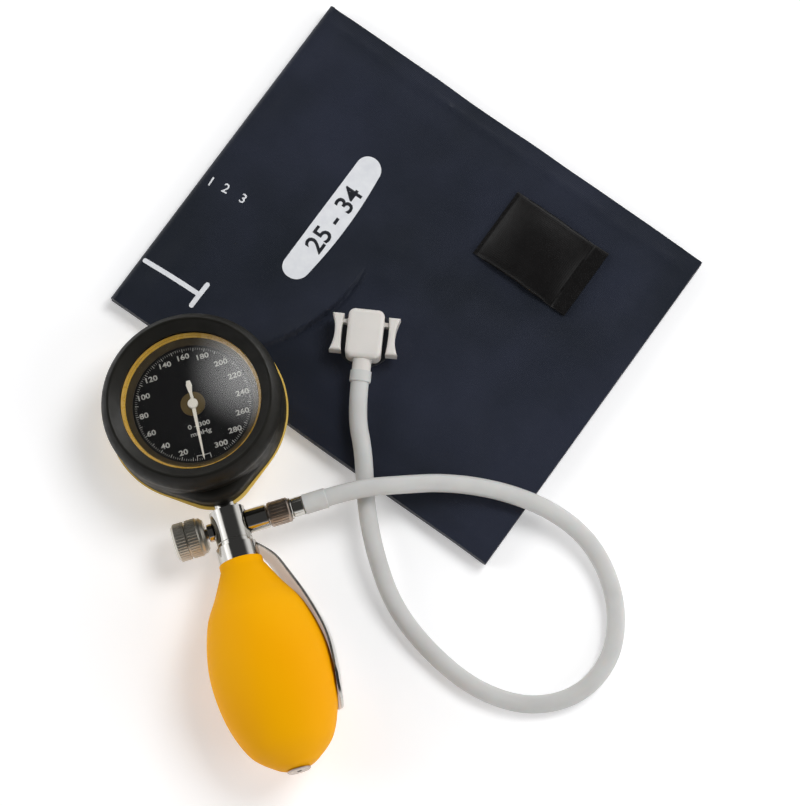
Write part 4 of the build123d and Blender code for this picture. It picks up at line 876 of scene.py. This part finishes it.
def stitch(work, start, end, radius):
    """One thread stitch: a short rod of eight sides that tapers to both ends."""
    sides = 8
    a, b = Vector(start) * MM, Vector(end) * MM
    way = (b - a).normalized()
    side = way.cross(Vector((0, 0, 1))).normalized()
    up = side.cross(way)
    rings = []
    for t, share in ((0.0, 0.3), (0.15, 0.85), (0.5, 1.0), (0.85, 0.85), (1.0, 0.3)):
        centre = a.lerp(b, t) - up * radius * MM * (1 - share)
        ring = []
        for k in range(sides):
            angle = 2 * math.pi * k / sides
            out = side * math.cos(angle) + up * math.sin(angle)
            ring.append(work.verts.new(centre + out * radius * share * MM))
        rings.append(ring)
    for first, second in zip(rings, rings[1:]):
        for k in range(sides):
            n = (k + 1) % sides
            work.faces.new((first[k], first[n], second[n], second[k]))
    work.faces.new(rings[0][::-1])
    work.faces.new(rings[-1])


def between(a, b, c, d, t):
    """A share t of the way from b to c on a smooth line through four values."""
    square = (2 * a - 5 * b + 4 * c - d) * t * t
    cube = (3 * b - a - 3 * c + d) * t ** 3
    return 0.5 * (2 * b + (c - a) * t + square + cube)


def curve_through(points, steps):
    """Points along a smooth line through the given ones."""
    ends = [
        tuple(2 * a - b for a, b in zip(points[0], points[1])),
        tuple(2 * a - b for a, b in zip(points[-1], points[-2])),
    ]
    line = [ends[0], *points, ends[1]]
    result = []
    for four in zip(line, line[1:], line[2:], line[3:]):
        for k in range(steps):
            result.append(tuple(between(*values, k / steps) for values in zip(*four)))
    result.append(points[-1])
    return result


def lathe(name, profile, segments, ridge):
    """Turns (radius, distance down the valve's axis) round that axis.

    A parting ridge runs down both sides, except on the narrow mouth.
    """
    work = bmesh.new()
    rings = []
    for radius, down in profile:
        ring = []
        for k in range(segments):
            angle = 2 * math.pi * k / segments
            grow = ridge * math.exp(-(math.sin(angle) * radius / 0.5) ** 2) if radius > 8.5 else 0.0
            r = radius + grow
            ring.append(work.verts.new((r * math.cos(angle), -down, r * math.sin(angle))))
        rings.append(ring)
    for first, second in zip(rings, rings[1:] + rings[:1]):
        for k in range(segments):
            n = (k + 1) % segments
            work.faces.new((first[k], second[k], second[n], first[n]))
    bmesh.ops.recalc_face_normals(work, faces=work.faces)
    mesh = bpy.data.meshes.new(name)
    work.to_mesh(mesh)
    work.free()
    mesh.transform(HAND)
    smooth_mesh(mesh, 35)
    return mesh


def make_bulb(finishes):
    """The squeeze bulb, hollow, with its mouth round the spigot and a hole for the inlet valve."""
    belly, length, radius, wall = 45.8, 82.7, 23.0, 2.4
    neck, spigot, hole = 8.4, 5.45, 3.62
    rest = length - belly
    shape = [
        (neck, 2.5), (0.565 * radius, 0.25 * belly), (0.8 * radius, 0.455 * belly),
        (0.957 * radius, 0.735 * belly), (radius, belly), (0.92 * radius, belly + 0.39 * rest),
        (0.70 * radius, belly + 0.74 * rest), (0.375 * radius, belly + 0.93 * rest),
        (hole, length - 0.05),
    ]
    lip = [(spigot, 0.0), (8.0, 0.0), (8.3, 0.12), (neck, 0.45), (neck, 1.5)]
    outer = lip + curve_through(shape, 10)
    inner = [(r - wall, down) for r, down in curve_through(shape, 4) if 6 < down < length - 8]
    valve_seat = [(hole, length - 6.0), (5.5, length - 6.6)]
    closed = outer + valve_seat + inner[::-1] + [(spigot, 7.5)]
    profile = [(r, MOUTH + down) for r, down in closed]
    mesh = lathe("squeeze_bulb", profile, 160, 0.1)
    piece("squeeze_bulb", mesh, finishes["bulb_rubber"], "base", ["bulb"])


def make_hose(finishes):
    """The hose, on the same points as its solid."""
    route = [
        (26.4, -88.8, 19.0), (34.4, -78.6, 19.9), (45.4, -69.1, 18.9), (59.6, -57.0, 16.0),
        (77.5, -47.3, 13.0), (95.7, -42.0, 10.6), (112.8, -41.5, 6.9), (127.8, -47.3, 4.0),
        (140.9, -58.6, 3.6), (148.9, -74.4, 3.6), (147.1, -92.6, 3.6), (134.6, -107.1, 3.6),
        (115.2, -113.7, 3.6), (93.6, -112.8, 3.6), (71.2, -107.0, 5.3), (53.1, -94.8, 9.6),
        (38.3, -80.5, 10.6), (26.8, -65.6, 12.0), (16.6, -56.3, 15.5), (10.1, -45.0, 15.5),
    ]
    data = bpy.data.curves.new("hose_tube", "CURVE")
    data.dimensions = "3D"
    data.bevel_depth = 3.5 * MM
    data.bevel_resolution = 8
    data.resolution_u = 12
    data.use_fill_caps = True
    spline = data.splines.new("NURBS")
    spline.points.add(len(route) - 1)
    for point, place in zip(spline.points, route):
        point.co = (*(c * MM for c in place), 1.0)
    spline.order_u = 3
    spline.use_endpoint_u = True
    data.materials.append(finishes["hose"])
    tube = bpy.data.objects.new("hose_tube", data)
    bpy.context.scene.collection.objects.link(tube)
    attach(tube, "base")
    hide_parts("hose")


def make_dial_print(finishes):
    """Numbers from 20 to 300, scale lines, a zero box and the unit."""
    place = HAND @ Matrix.Translation((0, 0, DIAL_TOP + DIAL_LIFT))
    entries = []
    for k in range(1, NUMBERS + 1):
        angle = math.radians(ZERO_ANGLE - STEP_ANGLE * k)
        x, y = NUMBER_RING * math.cos(angle), NUMBER_RING * math.sin(angle)
        entries.append((str(20 * k), x, y, 3.5, 0.0, 0.09))
    entries += [("0 - 300", 0.0, -8.4, 3.0, 0.0, 0.07), ("mmHg", 0.0, -11.8, 3.0, 0.0, 0.07)]
    numbers = lettering(entries, 0.82)
    numbers.transform(place)
    printed("dial_numbers", numbers, finishes["figures"], DIAL_INK)

    work = bmesh.new()

    def bar(inner, outer, degrees, width):
        a, half = math.radians(degrees), width / 2
        along = Vector((math.cos(a), math.sin(a), 0))
        across = Vector((-math.sin(a), math.cos(a), 0))
        corners = ((inner, -half), (outer, -half), (outer, half), (inner, half))
        work.faces.new([work.verts.new(along * r + across * w) for r, w in corners])

    for k in range(NUMBERS * LINES_A_STEP + 1):
        inner, width = (SCALE_LONG, 0.2) if k % 5 == 0 else (SCALE_SHORT, 0.11)
        bar(inner, SCALE_OUT, ZERO_ANGLE - STEP_ANGLE * k / LINES_A_STEP, width)
    pieces = 24  # of the zero box's inner side
    for k in range(pieces):
        degrees = 2 * ZERO_BOX_HALF * k / (pieces - 1) - ZERO_BOX_HALF
        bar(ZERO_BOX_IN, ZERO_BOX_IN + 0.3, ZERO_ANGLE + degrees, 0.3)
    for degrees in (-ZERO_BOX_HALF, ZERO_BOX_HALF):
        bar(ZERO_BOX_IN, SCALE_OUT, ZERO_ANGLE + degrees, 0.28)
    lines = bpy.data.meshes.new("scale_lines")
    work.to_mesh(lines)
    work.free()
    lines.transform(place)
    printed("scale_lines", lines, finishes["figures"], DIAL_INK)


def dress_nodes(finishes):
    """Finishes for the CAD nodes that still show."""
    for part in frame["record"]["subparts"]:
        name = part["node"]
        item = nodes.get(name)
        if item is None or item.hide_render:
            continue
        material = finishes[OWN_FINISH.get(name, part["material_slot"])]
        if item.data.materials:
            for index in range(len(item.data.materials)):
                item.data.materials[index] = material
        else:
            item.data.materials.append(material)


place_camera()
finishes = make_finishes()
make_hose(finishes)
lay_floor()
light_studio()
# The pale haze on the lens, then the sheen on the bumper's inner slope
linked_lamp("window", (-0.2, 0.5, 0.84), "lens", 3.6, 0.36, 0.05)
linked_lamp("low_window", (0.17, 0.9, 0.4), "bumper", 14.0, 0.25, 0.2)
make_cuff(finishes)
make_patches(finishes)
make_prints(finishes)
make_loop(finishes)
make_bulb(finishes)
make_dial_print(finishes)
dress_nodes(finishes)
